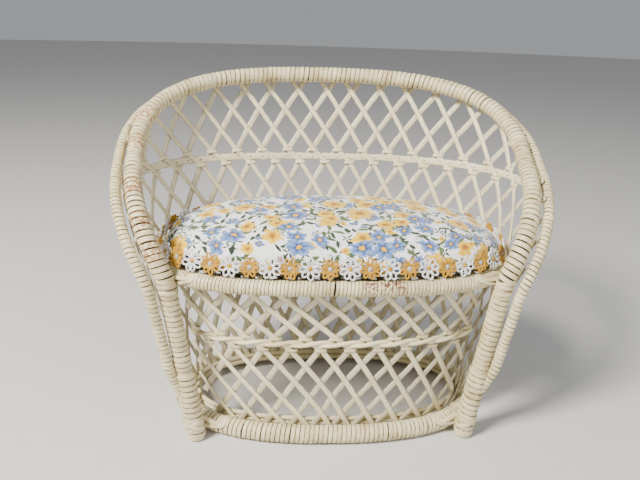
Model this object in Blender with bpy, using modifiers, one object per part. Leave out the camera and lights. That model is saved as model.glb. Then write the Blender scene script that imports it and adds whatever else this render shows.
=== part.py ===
"""Doll's wicker settee: bent-cane hoop and rings, bound with peel, a splint lattice, and a loose cushion.

Metres, +Z up, front towards -Y, standing on Z = 0.
"""
import bpy
import bmesh
from math import atan2, ceil, cos, pi, radians, sin, sqrt
from mathutils import Matrix, Vector

# ---- driving dimensions -------------------------------------------------------------------------------
GAP = 0.0003                  # between pieces that touch
SEAT_HEIGHT = 0.1145          # centre line of the seat ring above the floor
HOOP_HEIGHT = 0.2245          # centre line of the top rail above the floor

WALL_FOOT_HALF_WIDTH = 0.0962     # lattice wall, on the level of the base ring
WALL_FOOT_FRONT = 0.0500
WALL_FOOT_BACK = 0.0445
WALL_SIDE_FLARE = 0.240           # outward lean of the wall, run over rise
WALL_BACK_FLARE = 0.270
WALL_SQUARENESS = 2.4             # exponent of the plan outline; 2 is an ellipse

SEAT_FRONT = 0.0655               # front of the seat ring from the middle of the plan
SEAT_FRONT_SQUARENESS = 2.9

LEG_ANGLE = radians(51.0)         # plan parameter of the front legs, 0 at the front and pi at the back
ARM_RISE = 1.54                   # how steeply the arm climbs from the leg
ARM_SWEEP = 0.90                  # how early it turns back

HOOP_CORE_RADIUS = 0.0040
ROD_CORE_RADIUS = 0.0018
SEAT_CORE_RADIUS = 0.0033
BASE_CORE_RADIUS = 0.0046
PEEL = 0.0010                     # thickness of a layer of cane peel wound on a pole
LEG_BINDING_HEIGHT = 0.052        # the binding that takes in the outer rod's end
LEG_BINDING_PEEL = 0.0018
FOOT_STUB = 0.0060                # the lowest stretch of a leg stands upright

REED_RADIUS = 0.0016
SPLINT_WIDTH = 0.0040
LATTICE_THICKNESS = 0.0016        # two splints where they cross
DIAMOND_WIDTH = 0.0180            # along the wall at seat height
WALL_DIAMOND_HEIGHT = 0.0300
SKIRT_DIAMOND_HEIGHT = 0.0240
SHORT_OF_CROSSING = 0.88          # share of the run to a crossing outside the panel that a splint keeps
PANEL_SEAMS = (0.36, 0.68)        # share of each half of the wall where its panels meet

BAND_THICKNESS = 0.0010
BAND_HEIGHT = 0.0050
BACK_BAND_LEVEL = 0.1625
SKIRT_BAND_LEVEL = 0.0720

DECK_THICKNESS = 0.0016
DECK_CELLS = 8                    # woven squares across the seat's width
STRAP_THICKNESS = 0.0010
STRAP_WIDTH = 0.0080

CUSHION_HEIGHT = 0.0300
CUSHION_BULGE = 0.0040            # how far the sides of the cushion swell past its foot
CUSHION_INSET = 0.0060            # from the seat ring to the foot of the cushion
COVER_THICKNESS = 0.0008
BOARD_THICKNESS = 0.0020
TRIM_HEIGHT = 0.0100
TRIM_THICKNESS = 0.0014
TRIM_LIFT = 0.0012

# ---- sizes that follow --------------------------------------------------------------------------------
POLE_SIDES = 8
ROD_SIDES = 6


def bore_over(core_radius, sides):
    """Radius of a faceted tube whose flats clear a faceted core, however the two are turned."""
    return core_radius / cos(pi / sides) + GAP


HOOP_RADIUS = bore_over(HOOP_CORE_RADIUS, POLE_SIDES) + PEEL
ROD_RADIUS = bore_over(ROD_CORE_RADIUS, ROD_SIDES) + PEEL
SEAT_RADIUS = bore_over(SEAT_CORE_RADIUS, POLE_SIDES) + PEEL
BASE_RADIUS = bore_over(BASE_CORE_RADIUS, POLE_SIDES) + PEEL
LEG_BINDING_RADIUS = bore_over(HOOP_CORE_RADIUS, POLE_SIDES) + LEG_BINDING_PEEL
HALF_LATTICE = LATTICE_THICKNESS / 2 + GAP
DECK_LEVEL = SEAT_HEIGHT
DECK_TOP = DECK_LEVEL + DECK_THICKNESS / 2
SKIRT_TOP = DECK_LEVEL - DECK_THICKNESS / 2 - GAP
LEG_TOP = SEAT_HEIGHT
SOLVED = {}


# ---- plan outlines and surfaces -----------------------------------------------------------------------
def outline(angle, half_width, front, back, front_exponent, back_exponent):
    """Point on a rounded plan outline; angle 0 is the front, pi the back."""
    s, c = sin(angle), cos(angle)
    depth, power = (front, 2 / front_exponent) if c > 0 else (back, 2 / back_exponent)
    x = half_width * abs(s) ** power * (1 if s > 0 else -1)
    y = -depth * abs(c) ** power * (1 if c > 0 else -1)
    return Vector((x, y))


def outward(curve, angle, offset):
    """Point of a plan curve, moved by offset along its outward normal."""
    step = 1e-3
    tangent = curve(angle + step) - curve(angle - step)
    tangent.normalize()
    return curve(angle) + offset * Vector((tangent.y, -tangent.x))


def wall_outline(angle, level):
    rise = level - BASE_RADIUS
    return outline(angle,
                   WALL_FOOT_HALF_WIDTH + WALL_SIDE_FLARE * rise,
                   WALL_FOOT_FRONT + corner_flare() * rise,
                   WALL_FOOT_BACK + WALL_BACK_FLARE * rise,
                   WALL_SQUARENESS, WALL_SQUARENESS)


def leaning(curve_at, angle, level, offset):
    """Point of a leaning surface, moved square to it by offset but kept on its level."""
    p = outward(lambda a: curve_at(a, level), angle, 0.0)
    normal = (outward(lambda a: curve_at(a, level), angle, 1.0) - p).normalized()
    step = 1e-3
    lean = (curve_at(angle, level + step) - p).dot(normal) / step
    p = p + normal * offset * sqrt(1 + lean ** 2)
    return Vector((p.x, p.y, level))


def wall(angle, level, offset=0.0):
    """Point on the lattice wall behind the legs, offset outwards."""
    return leaning(wall_outline, angle, level, offset)


def base_outline(angle):
    """Centre line of the base ring: outside the foot of the wall."""
    reach = (HALF_LATTICE + BASE_RADIUS) * sqrt(1 + WALL_BACK_FLARE ** 2)

    def foot(a):
        return outline(a, WALL_FOOT_HALF_WIDTH, WALL_FOOT_FRONT, WALL_FOOT_BACK,
                       WALL_SQUARENESS, WALL_SQUARENESS)

    return outward(foot, angle, reach)


def base_ring(angle, offset=0.0):
    p = outward(base_outline, angle, offset)
    return Vector((p.x, p.y, BASE_RADIUS))


def seat_outline(angle):
    """Centre line of the seat ring: inside the wall at the sides and back, shallow at the front."""
    rise = SEAT_HEIGHT - BASE_RADIUS
    inset = (HALF_LATTICE + SEAT_RADIUS) * sqrt(1 + WALL_BACK_FLARE ** 2) + 2 * GAP
    return outline(angle,
                   WALL_FOOT_HALF_WIDTH + WALL_SIDE_FLARE * rise - inset,
                   SEAT_FRONT,
                   WALL_FOOT_BACK + WALL_BACK_FLARE * rise - inset,
                   SEAT_FRONT_SQUARENESS, WALL_SQUARENESS)


def seat_ring(angle, offset=0.0):
    p = outward(seat_outline, angle, offset)
    return Vector((p.x, p.y, SEAT_HEIGHT))


def skirt_outline(angle, level):
    """The front skirt runs from inside the base ring to inside the seat ring."""
    share = (level - BASE_RADIUS) / (SEAT_HEIGHT - BASE_RADIUS)
    low = outward(base_outline, angle, -(HALF_LATTICE + BASE_RADIUS + GAP))
    high = outward(seat_outline, angle, -(HALF_LATTICE + SEAT_RADIUS + GAP))
    return low.lerp(high, share)


def skirt(angle, level, offset=0.0):
    return leaning(skirt_outline, angle, level, offset)


# ---- centre lines -------------------------------------------------------------------------------------
def leg_point(level):
    """Right leg: beside the base ring at the floor, beside the seat ring higher up."""
    foot = base_ring(LEG_ANGLE, BASE_RADIUS + LEG_BINDING_RADIUS + GAP)
    head = seat_ring(LEG_ANGLE, SEAT_RADIUS + HOOP_RADIUS + GAP)
    p = foot.lerp(head, level / LEG_TOP)
    return Vector((p.x, p.y, level))


def nearest_angle(curve, point):
    """Plan parameter at which a curve comes nearest a point beside the right front corner."""
    low, high = radians(20), radians(100)
    for _ in range(40):
        a, b = low + (high - low) * 0.4, low + (high - low) * 0.6
        if (curve(a) - point).length < (curve(b) - point).length:
            high = b
        else:
            low = a
    return (low + high) / 2


def corner_flare():
    """Lean of the wall's front corners, so that the leg's head stands just inside the wall."""
    if "flare" not in SOLVED:
        head = leg_point(LEG_TOP).xy
        reach = HALF_LATTICE + HOOP_RADIUS
        low, high = 0.0, 3.0
        for _ in range(40):
            SOLVED["flare"] = (low + high) / 2
            angle = nearest_angle(lambda a: wall_outline(a, LEG_TOP), head)
            inner = wall(angle, LEG_TOP, -reach).xy
            outside = (wall_outline(angle, LEG_TOP) - inner).dot(head - inner) > 0
            low, high = (SOLVED["flare"], high) if outside else (low, SOLVED["flare"])
    return SOLVED["flare"]


def smooth(share):
    share = min(max(share, 0.0), 1.0)
    return share * share * (3 - 2 * share)


def arm_course(share):
    """Plan angle and level of the hoop, from the leg's head (0) to the middle of the back (1)."""
    turn = share * pi / 2
    start = nearest_angle(lambda a: wall_outline(a, LEG_TOP), leg_point(LEG_TOP).xy)
    angle = start + (pi - start) * (1 - cos(turn) ** ARM_SWEEP)
    return angle, LEG_TOP + (HOOP_HEIGHT - LEG_TOP) * sin(turn) ** ARM_RISE


def half_hoop():
    """Right half of the hoop, from the top of its upright foot to the middle of the back."""
    inset = HALF_LATTICE + HOOP_RADIUS
    points = [leg_point(FOOT_STUB)] + [leg_point(LEG_TOP * k / 5) for k in range(1, 5)]
    return points + [wall(*arm_course(k / 24), -inset) for k in range(25)]


def half_rod():
    """Right half of the thin outer rod, from the top of the leg's binding to the middle of the back."""
    beside_leg = HOOP_RADIUS + ROD_RADIUS + GAP
    beside_wall = beside_leg + LATTICE_THICKNESS + GAP
    low = LEG_BINDING_HEIGHT + GAP
    points = []
    for k in range(5):
        level = low + (LEG_TOP - low) * k / 5
        angle = nearest_angle(lambda a: wall_outline(a, LEG_TOP), leg_point(LEG_TOP).xy)
        outwards = (wall(angle, LEG_TOP, 1.0) - wall(angle, LEG_TOP)).normalized()
        reach = beside_leg + (beside_wall - beside_leg) * smooth(k / 5)
        points.append(leg_point(level) + outwards * reach)
    for k in range(25):
        angle, level = arm_course(k / 24)
        points.append(wall(angle, level - ROD_RADIUS * smooth(k / 6), HALF_LATTICE + GAP + ROD_RADIUS))
    return points


def mirrored(half):
    """Whole centre line from the left foot to the right foot."""
    left = [Vector((-p.x, p.y, p.z)) for p in half]
    return left[:-1] + [Vector((0, half[-1].y, half[-1].z))] + list(reversed(half[:-1]))


def resample(points, count, closed=False):
    """Evenly spaced points along a polyline."""
    line = list(points) + ([points[0]] if closed else [])
    reach = [0.0]
    for a, b in zip(line, line[1:]):
        reach.append(reach[-1] + (b - a).length)
    steps = count if closed else count - 1
    result, segment = [], 0
    for k in range(count):
        target = reach[-1] * k / steps
        while segment < len(line) - 2 and reach[segment + 1] < target:
            segment += 1
        span = reach[segment + 1] - reach[segment]
        result.append(line[segment].lerp(line[segment + 1], (target - reach[segment]) / span))
    return result


def length_of(line):
    return sum((b - a).length for a, b in zip(line, line[1:]))


def part_of(line, start, end):
    """The part of a polyline between two distances along it, with the line's own corners."""
    points, reach = [], 0.0
    for a, b in zip(line, line[1:]):
        span = (b - a).length
        for mark in (start, end):
            if reach <= mark < reach + span:
                points.append((mark, a.lerp(b, (mark - reach) / span)))
        reach += span
        if start < reach < end:
            points.append((reach, b))
    return [point for _, point in sorted(points, key=lambda pair: pair[0])]


# ---- objects ------------------------------------------------------------------------------------------
def new_material(name, colour, roughness):
    material = bpy.data.materials.new(name)
    material.use_nodes = True
    shader = material.node_tree.nodes["Principled BSDF"]
    shader.inputs["Base Color"].default_value = (*colour, 1)
    shader.inputs["Roughness"].default_value = roughness
    return material


def add(name, data, colour, roughness=0.6):
    item = bpy.data.objects.new(name, data)
    PARTS.objects.link(item)
    data.materials.append(new_material(name, colour, roughness))
    return item


def curve_data(name, points, radius, closed=False, caps=True, sides=POLE_SIDES):
    data = bpy.data.curves.new(name, 'CURVE')
    data.dimensions = '3D'
    data.bevel_depth = radius
    data.bevel_resolution = sides // 2 - 2
    data.use_fill_caps = caps
    data.render_resolution_u = 0
    spline = data.splines.new('POLY')
    spline.points.add(len(points) - 1)
    for slot, point in zip(spline.points, points):
        slot.co = (*point, 1)
    spline.use_cyclic_u = closed
    return data


def rod(name, points, radius, colour, closed=False, sides=POLE_SIDES):
    return add(name, curve_data(name, points, radius, closed, True, sides), colour)


def solidify(item, thickness, offset):
    shell = item.modifiers.new("thickness", 'SOLIDIFY')
    shell.thickness = thickness
    shell.offset = offset
    return shell


def sleeve(name, points, core_radius, colour, sides=POLE_SIDES):
    """A layer of peel wound on a core: an open-ended tube with a wall."""
    item = add(name, curve_data(name, points, bore_over(core_radius, sides), False, False, sides), colour)
    solidify(item, PEEL, 1)
    return item


def mesh_from(name, source):
    """Mesh of a curve's evaluated shape, caps welded; the curve is removed."""
    graph = bpy.context.evaluated_depsgraph_get()
    data = bpy.data.meshes.new_from_object(source.evaluated_get(graph))
    data.name = name
    work = bmesh.new()
    work.from_mesh(data)
    bmesh.ops.remove_doubles(work, verts=work.verts, dist=1e-6)
    work.to_mesh(data)
    work.free()
    bpy.data.objects.remove(source)
    return data


def shade(item):
    item.data.shade_smooth()
    item.data.set_sharp_from_angle(angle=radians(40))


def surface_panel(name, faces, colour, thickness):
    """Open surface from a list of quads of points, welded, then given its thickness."""
    data = bpy.data.meshes.new(name)
    work = bmesh.new()
    for quad in faces:
        work.faces.new([work.verts.new(p) for p in quad])
    bmesh.ops.remove_doubles(work, verts=work.verts, dist=2e-5)
    bmesh.ops.recalc_face_normals(work, faces=work.faces)
    work.to_mesh(data)
    work.free()
    item = add(name, data, colour)
    solidify(item, thickness, 0)
    return item


# ---- lattice ------------------------------------------------------------------------------------------
def lattice_quads(low, high, bottom, top, pitch, rise, place):
    """Diamond lattice between two columns and two levels, as quads.

    low and high bound the distance along the wall; top(s) is the upper edge there; place(s, z) is the
    point on the surface. Splints that cross the border are cut off on it.
    """
    across = SPLINT_WIDTH / 2 * sqrt(1 + (pitch / rise) ** 2)
    upright = across * rise / pitch

    def inside(s, z):
        return low <= s <= high and bottom <= z <= top(s)

    def corners(column, row):
        s, z = column * pitch / 2, bottom + row * rise / 2
        return (s + across, z), (s, z + upright), (s - across, z), (s, z - upright)

    def cut(start, end):
        """Where a splint edge leaves the panel, or just short of the next crossing."""
        near, far = 0.0, 2 * SHORT_OF_CROSSING
        for _ in range(18):
            middle = (near + far) / 2
            s = start[0] + (end[0] - start[0]) * middle
            z = start[1] + (end[1] - start[1]) * middle
            near, far = (middle, far) if inside(s, z) and middle < SHORT_OF_CROSSING else (near, middle)
        return start[0] + (end[0] - start[0]) * near, start[1] + (end[1] - start[1]) * near

    columns = range(int(low / pitch * 2) - 2, int(high / pitch * 2) + 3)
    rows = range(0, 60)
    nodes = {}
    for column in columns:
        for row in rows:
            if (column + row) % 2 == 0:
                square = corners(column, row)
                if all(inside(*corner) for corner in square):
                    nodes[column, row] = square
    kept = largest_group(nodes)
    quads = [list(nodes[key]) for key in kept]
    links = {(1, 1): (0, 3, 2, 1), (-1, 1): (1, 0, 3, 2), (-1, -1): (2, 1, 0, 3), (1, -1): (3, 2, 1, 0)}
    for (column, row) in kept:
        for (dc, dr), (a, b, c, d) in links.items():
            other = (column + dc, row + dr)
            here, there = nodes[column, row], corners(*other)
            if other in kept:
                if dr > 0:
                    quads.append([here[a], there[b], there[c], here[d]])
                continue
            first, second = cut(here[a], there[b]), cut(here[d], there[c])
            if (Vector(first) - Vector(here[a])).length > 1e-3 and (Vector(second) - Vector(here[d])).length > 1e-3:
                quads.append([here[a], first, second, here[d]])
    return [[place(*point) for point in quad] for quad in quads]


def largest_group(nodes):
    """The biggest connected set of lattice crossings."""
    left, best = set(nodes), set()
    while left:
        group, edge = set(), [left.pop()]
        while edge:
            column, row = edge.pop()
            group.add((column, row))
            for dc in (-1, 1):
                for dr in (-1, 1):
                    key = (column + dc, row + dr)
                    if key in left:
                        left.remove(key)
                        edge.append(key)
        best = max(best, group, key=len)
    return best


def arc_table(curve, start, end, count=400):
    """Plan angles and the distance along a curve at each, from start to end."""
    angles = [start + (end - start) * k / count for k in range(count + 1)]
    reach = [0.0]
    for a, b in zip(angles, angles[1:]):
        reach.append(reach[-1] + (curve(b) - curve(a)).length)
    return angles, reach


def lookup(value, keys, results):
    """Straight-line interpolation in a rising table."""
    if value <= keys[0]:
        return results[0]
    for k in range(1, len(keys)):
        if value <= keys[k]:
            share = (value - keys[k - 1]) / (keys[k] - keys[k - 1])
            return results[k - 1] + (results[k] - results[k - 1]) * share
    return results[-1]


# ---- pieces -------------------------------------------------------------------------------------------
CREAM = (0.80, 0.77, 0.62)
CORE_CANE = (0.55, 0.38, 0.22)
RING_SIDES = 4 * ceil(WALL_FOOT_HALF_WIDTH / 0.0100)   # straight lengths round a ring, parted between corners
REED_SIDES = 32


def add_hoop():
    """Main pole: core, its wrapping in three lengths, and the bindings over the lower legs."""
    line = resample(mirrored(half_hoop()), 45)
    sole = LEG_BINDING_PEEL + GAP
    rod("hoop_core", [above(line[0], sole)] + line + [above(line[-1], sole)], HOOP_CORE_RADIUS, CORE_CANE)
    whole = length_of(line)
    first = LEG_BINDING_HEIGHT - FOOT_STUB
    joints = [first, whole / 3, whole * 2 / 3, whole - first]
    names = ["hoop_wrap_left_arm", "hoop_wrap_top_rail", "hoop_wrap_right_arm"]
    for name, start, end in zip(names, joints, joints[1:]):
        sleeve(name, part_of(line, start + GAP, end - GAP), HOOP_CORE_RADIUS, CREAM)
    for side, course in (("left", line), ("right", line[::-1])):
        leg = part_of(course, 0.0, first - GAP)
        leg_binding("leg_binding_" + side, [above(leg[0], 0.0)] + leg)


def above(point, level):
    return Vector((point.x, point.y, level))


def leg_binding(name, points):
    """Cup-shaped peel binding: a tube round the leg, closed under its foot."""
    outer = bpy.data.objects.new(name, curve_data(name, points, LEG_BINDING_RADIUS))
    PARTS.objects.link(outer)
    data = mesh_from(name, outer)
    work = bmesh.new()
    work.from_mesh(data)
    end = points[-1]
    near = LEG_BINDING_RADIUS * 0.9
    lid = [face for face in work.faces if (face.calc_center_median() - end).length < near
           and face.normal.dot(points[-1] - points[-2]) > 0.5 * (points[-1] - points[-2]).length]
    bmesh.ops.delete(work, geom=lid, context='FACES_ONLY')
    work.to_mesh(data)
    work.free()
    item = add(name, data, CREAM)
    solidify(item, LEG_BINDING_PEEL, -1)


def add_outer_rod():
    line = resample(mirrored(half_rod()), 47)
    rod("outer_rod_core", line, ROD_CORE_RADIUS, CORE_CANE, sides=ROD_SIDES)
    third = length_of(line) / 3
    for k, name in enumerate(["outer_rod_wrap_left", "outer_rod_wrap_back", "outer_rod_wrap_right"]):
        section = part_of(line, third * k + GAP, third * (k + 1) - GAP)
        sleeve(name, section, ROD_CORE_RADIUS, CREAM, sides=ROD_SIDES)


def add_ring(name, curve, core_radius):
    """A closed ring of cane with its wrapping in a front and a back length."""
    line = resample([curve(2 * pi * k / 720) for k in range(720)], RING_SIDES, closed=True)
    rod(name + "_core", line, core_radius, CORE_CANE, closed=True)
    twice = line + line + line[:1]
    whole = length_of(line + line[:1])
    side_joint = whole * (RING_SIDES // 4 + 0.5) / RING_SIDES
    spans = {"back": (side_joint, whole - side_joint), "front": (whole - side_joint, whole + side_joint)}
    for side, (start, end) in spans.items():
        sleeve(f"{name}_wrap_{side}", part_of(twice, start + GAP, end - GAP), core_radius, CREAM)


def add_reeds():
    """Thin hoops that clamp the splint ends against the rings, inside the lattice."""
    def inner(angle, level):
        offset = -(HALF_LATTICE + REED_RADIUS + GAP)
        if cos(angle) > 0:
            return skirt(angle, level, offset)
        return wall(angle, level, offset)

    def under_seat(angle, level):
        offset = -(SEAT_RADIUS + 2 * HALF_LATTICE + REED_RADIUS + 3 * GAP)
        return above(seat_ring(angle, offset), level)

    courses = {"base_reed_lower": (inner, BASE_RADIUS + REED_RADIUS),
               "base_reed_upper": (inner, BASE_RADIUS + 3 * REED_RADIUS + GAP),
               "seat_reed": (under_seat, SKIRT_TOP - REED_RADIUS - GAP)}
    for name, (course, level) in courses.items():
        line = [course(2 * pi * k / 360, level) for k in range(360)]
        rod(name, resample(line, REED_SIDES, closed=True), REED_RADIUS, CREAM, closed=True, sides=ROD_SIDES)


def wall_table():
    """Distance along the wall at seat height from the middle of the back, against plan angle."""
    return arc_table(lambda a: wall_outline(a, SEAT_HEIGHT), pi, radians(40))


def front_edge():
    """Plan angle where the wall's lattice can start, clear of the leg and the rod in front of it."""
    poles = [(resample(half_hoop(), 300), HOOP_RADIUS), (resample(half_rod(), 300), ROD_RADIUS)]
    spare = HALF_LATTICE + STRAP_THICKNESS + 2 * GAP

    def clear(angle):
        for level in [k * 0.004 for k in range(1, int(LEG_TOP / 0.004) + 1)]:
            spot = wall(angle, level)
            for line, radius in poles:
                if min((spot - p).length for p in line) < radius + spare:
                    return False
        return True

    angle = nearest_angle(lambda a: wall_outline(a, LEG_TOP), leg_point(LEG_TOP).xy)
    while not clear(angle):
        angle += radians(0.5)
    return angle


def add_wall_lattice():
    """Diamond lattice from leg to leg round the back, in five panels, tucked behind the hoop."""
    angles, reach = wall_table()
    course = [arm_course(k / 200) for k in range(201)]
    course_angles = [angle for angle, _ in course]
    course_levels = [level for _, level in course]
    start = front_edge()
    half = lookup(-start, [-a for a in angles], reach)

    def angle_at(s):
        return lookup(abs(s), reach, angles)

    def top(s):
        return lookup(angle_at(s), course_angles, course_levels)

    def place(s, z):
        p = wall(angle_at(s), z)
        return Vector((p.x if s >= 0 else -p.x, p.y, p.z))

    inner, outer = PANEL_SEAMS[0] * half, PANEL_SEAMS[1] * half
    spans = {"wall_lattice_left_side": (-half, -outer),
             "wall_lattice_left_back": (-outer, -inner),
             "wall_lattice_middle_back": (-inner, inner),
             "wall_lattice_right_back": (inner, outer),
             "wall_lattice_right_side": (outer, half)}
    for name, (low, high) in spans.items():
        quads = lattice_quads(low + GAP / 2, high - GAP / 2, BASE_RADIUS - REED_RADIUS, top,
                              DIAMOND_WIDTH, WALL_DIAMOND_HEIGHT, place)
        surface_panel(name, quads, CREAM, LATTICE_THICKNESS)


def add_skirt_lattice():
    """Diamond lattice under the front of the seat, in three panels between the legs."""
    level = (BASE_RADIUS + SEAT_HEIGHT) / 2
    angles, reach = arc_table(lambda a: skirt_outline(a, level), 0.0, radians(80))
    half = lookup(skirt_end(), angles, reach)

    def place(s, z):
        p = skirt(lookup(abs(s), reach, angles), z)
        return Vector((p.x if s >= 0 else -p.x, p.y, p.z))

    third = half / 3
    spans = {"skirt_lattice_left": (-half, -third),
             "skirt_lattice_middle": (-third, third),
             "skirt_lattice_right": (third, half)}
    for name, (low, high) in spans.items():
        quads = lattice_quads(low + GAP / 2, high - GAP / 2, BASE_RADIUS - REED_RADIUS, lambda s: SKIRT_TOP,
                              DIAMOND_WIDTH, SKIRT_DIAMOND_HEIGHT, place)
        surface_panel(name, quads, CREAM, LATTICE_THICKNESS)


def skirt_end():
    """Plan angle where the skirt stops, short of the wall's lattice and beside the leg."""
    return front_edge() - radians(6)


def band(name, surface, start, end, level, offset, steps):
    """Flat strip laid along a surface between two plan angles."""
    def edge(angle, z):
        mirror = angle > pi
        p = surface(2 * pi - angle if mirror else abs(angle), z, offset)
        return Vector((-p.x if mirror or angle < 0 else p.x, p.y, p.z))

    angles = [start + (end - start) * k / steps for k in range(steps + 1)]
    low, high = level - BAND_HEIGHT / 2, level + BAND_HEIGHT / 2
    quads = [[edge(a, low), edge(b, low), edge(b, high), edge(a, high)] for a, b in zip(angles, angles[1:])]
    surface_panel(name, quads, CREAM, BAND_THICKNESS)


def add_bands():
    """The horizontal strips woven along the middle of the back and of the skirt."""
    inside = -(HALF_LATTICE + BAND_THICKNESS / 2)
    hoop = resample(half_hoop(), 300)
    start = next(angle for angle, level in (arm_course(k / 200) for k in range(201))
                 if level > BACK_BAND_LEVEL)
    while min((wall(start, BACK_BAND_LEVEL, inside) - p).length for p in hoop) < HOOP_RADIUS + BAND_HEIGHT:
        start += radians(1)
    band("back_band", wall, start, 2 * pi - start, BACK_BAND_LEVEL, inside, 36)
    band("skirt_band", skirt, -skirt_end(), skirt_end(), SKIRT_BAND_LEVEL, inside, 20)


def add_deck():
    """Open-weave seat, a grid of splints that fills the seat ring."""
    reach = -(SEAT_RADIUS + 4 * GAP)
    columns, rows = DECK_CELLS, max(4, round(DECK_CELLS * 0.58))
    share = SPLINT_WIDTH / (2 * seat_ring(pi / 2).x / columns)

    def lines(cells):
        marks = []
        for k in range(cells + 1):
            marks += [-1 + 2 * (k - share / 2) / cells, -1 + 2 * (k + share / 2) / cells]
        marks[0], marks[-1] = -1, 1
        return marks

    def place(u, v):
        """Square to the seat's outline, keeping the grid lines nearly straight."""
        x, y = u * sqrt(1 - v * v / 2), v * sqrt(1 - u * u / 2)
        size = sqrt(x * x + y * y)
        if size < 1e-9:
            return Vector((0, 0, DECK_LEVEL))
        angle = plan_direction(x, y)
        rim = seat_ring(angle, reach)
        return Vector((rim.x * size, rim.y * size, DECK_LEVEL))

    across, along = lines(columns), lines(rows)
    quads = []
    for i in range(len(across) - 1):
        for j in range(len(along) - 1):
            if i % 2 == 0 or j % 2 == 0:
                cell = (across[i], along[j]), (across[i + 1], along[j]), \
                       (across[i + 1], along[j + 1]), (across[i], along[j + 1])
                quads.append([place(*corner) for corner in cell])
    surface_panel("seat_deck", quads, CREAM, DECK_THICKNESS)


def plan_direction(x, y):
    """Outline parameter that lies in the direction of a point of the unit disc."""
    front = y < 0
    power = (SEAT_FRONT_SQUARENESS if front else WALL_SQUARENESS) / 2
    s, c = abs(x) ** power, abs(y) ** power
    angle = atan2(s, c)
    angle = angle if front else pi - angle
    return angle if x >= 0 else -angle


def strap(name, level, radius, ring, sign):
    """Lashing over the front of a leg, from beside the ring to the outer side."""
    rows = [level - STRAP_WIDTH / 2, level + STRAP_WIDTH / 2]
    turns = [radians(48 + 100 * k / 8) for k in range(9)]

    def spot(turn, z):
        centre = leg_point(z)
        toward = ring(LEG_ANGLE).xy - centre.xy
        toward.normalize()
        toward.rotate(Matrix.Rotation(turn, 2))
        p = centre.xy + toward * (radius + GAP + STRAP_THICKNESS / 2)
        return Vector((sign * p.x, p.y, z))

    quads = [[spot(a, rows[0]), spot(b, rows[0]), spot(b, rows[1]), spot(a, rows[1])]
             for a, b in zip(turns, turns[1:])]
    surface_panel(name, quads, CREAM, STRAP_THICKNESS)


def add_straps():
    """Peel lashings that tie each leg to the seat ring and to the base ring."""
    for side, sign in (("left", -1), ("right", 1)):
        strap("seat_strap_" + side, SEAT_HEIGHT - STRAP_WIDTH / 2, HOOP_RADIUS, seat_ring, sign)
        strap("base_strap_" + side, 2 * BASE_RADIUS + STRAP_WIDTH / 2, LEG_BINDING_RADIUS, base_ring, sign)


# ---- cushion ------------------------------------------------------------------------------------------
CUSHION_FOOT = DECK_TOP + GAP
CUSHION_REACH = -(SEAT_RADIUS + CUSHION_INSET) + CUSHION_BULGE
WAIST = 0.27                      # height of the widest part, as a share of the cushion's height
FLAT_FROM = 0.45                  # how far below its waist the underside is flat, on the unit sphere


def dome(inset, foot, crown):
    """Unit sphere drawn out to the seat's outline, full at the sides and flat underneath."""
    work = bmesh.new()
    bmesh.ops.create_uvsphere(work, u_segments=24, v_segments=12, radius=1)
    waist = CUSHION_FOOT + WAIST * CUSHION_HEIGHT
    for vert in work.verts:
        x, y, z = vert.co
        size = min(1.0, sqrt(x * x + y * y))
        rim = seat_ring(plan_direction(x, y), CUSHION_REACH - inset) if size > 1e-4 else Vector((0, 0, 0))
        level = waist + (crown - waist) * z if z > 0 else waist - (waist - foot) * min(1.0, -z / FLAT_FROM)
        vert.co = (rim.x * size, rim.y * size, level)
    return work


def to_item(name, work, colour, roughness):
    data = bpy.data.meshes.new(name)
    work.to_mesh(data)
    work.free()
    item = add(name, data, colour, roughness)
    shade(item)
    return item


def add_cushion():
    """Loose seat cushion: card base, filling, fabric cover and a braid round its foot."""
    lift = bpy.data.objects.new("cushion_lift", None)
    lift.location = (0, 0, CUSHION_FOOT)
    PARTS.objects.link(lift)

    work = dome(0.0, CUSHION_FOOT, CUSHION_FOOT + CUSHION_HEIGHT)
    hem = CUSHION_FOOT + 1e-5
    middle = [face for face in work.faces
              if all(vert.co.z < hem and (vert.co.xy.length < 0.80 * face_reach(vert.co)) for vert in face.verts)]
    bmesh.ops.delete(work, geom=middle, context='FACES')
    cover = to_item("cushion_cover", work, (0.86, 0.86, 0.84), 0.9)
    solidify(cover, COVER_THICKNESS, -1)

    board_foot = CUSHION_FOOT + COVER_THICKNESS + GAP
    outline_points = [seat_ring(2 * pi * k / 48, CUSHION_REACH) * 0.86 for k in range(48)]
    board = bpy.data.curves.new("cushion_board", 'CURVE')
    board.dimensions = '2D'
    board.fill_mode = 'BOTH'
    board.extrude = BOARD_THICKNESS / 2
    board.render_resolution_u = 0
    spline = board.splines.new('POLY')
    spline.points.add(len(outline_points) - 1)
    for slot, point in zip(spline.points, outline_points):
        slot.co = (point.x, point.y, 0, 1)
    spline.use_cyclic_u = True
    plate = add("cushion_board", board, (0.62, 0.52, 0.38), 0.8)
    plate.location = (0, 0, board_foot + BOARD_THICKNESS / 2)

    clear = 2 * (COVER_THICKNESS + GAP)
    work = dome(clear, board_foot + BOARD_THICKNESS + GAP, CUSHION_FOOT + CUSHION_HEIGHT - clear)
    filling = to_item("cushion_filling", work, (0.90, 0.86, 0.72), 0.9)

    low = CUSHION_FOOT + TRIM_LIFT
    reach = CUSHION_REACH + GAP + TRIM_THICKNESS / 2

    def edge(angle, z):
        p = seat_ring(angle, reach)
        return Vector((p.x, p.y, z))

    turns = [2 * pi * k / 48 for k in range(49)]
    quads = [[edge(a, low), edge(b, low), edge(b, low + TRIM_HEIGHT), edge(a, low + TRIM_HEIGHT)]
             for a, b in zip(turns, turns[1:])]
    trim = surface_panel("cushion_trim", quads, (0.75, 0.58, 0.22), TRIM_THICKNESS)

    for item in (cover, plate, filling, trim):
        item.parent = lift
        item.location.z -= CUSHION_FOOT
    return lift


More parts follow.
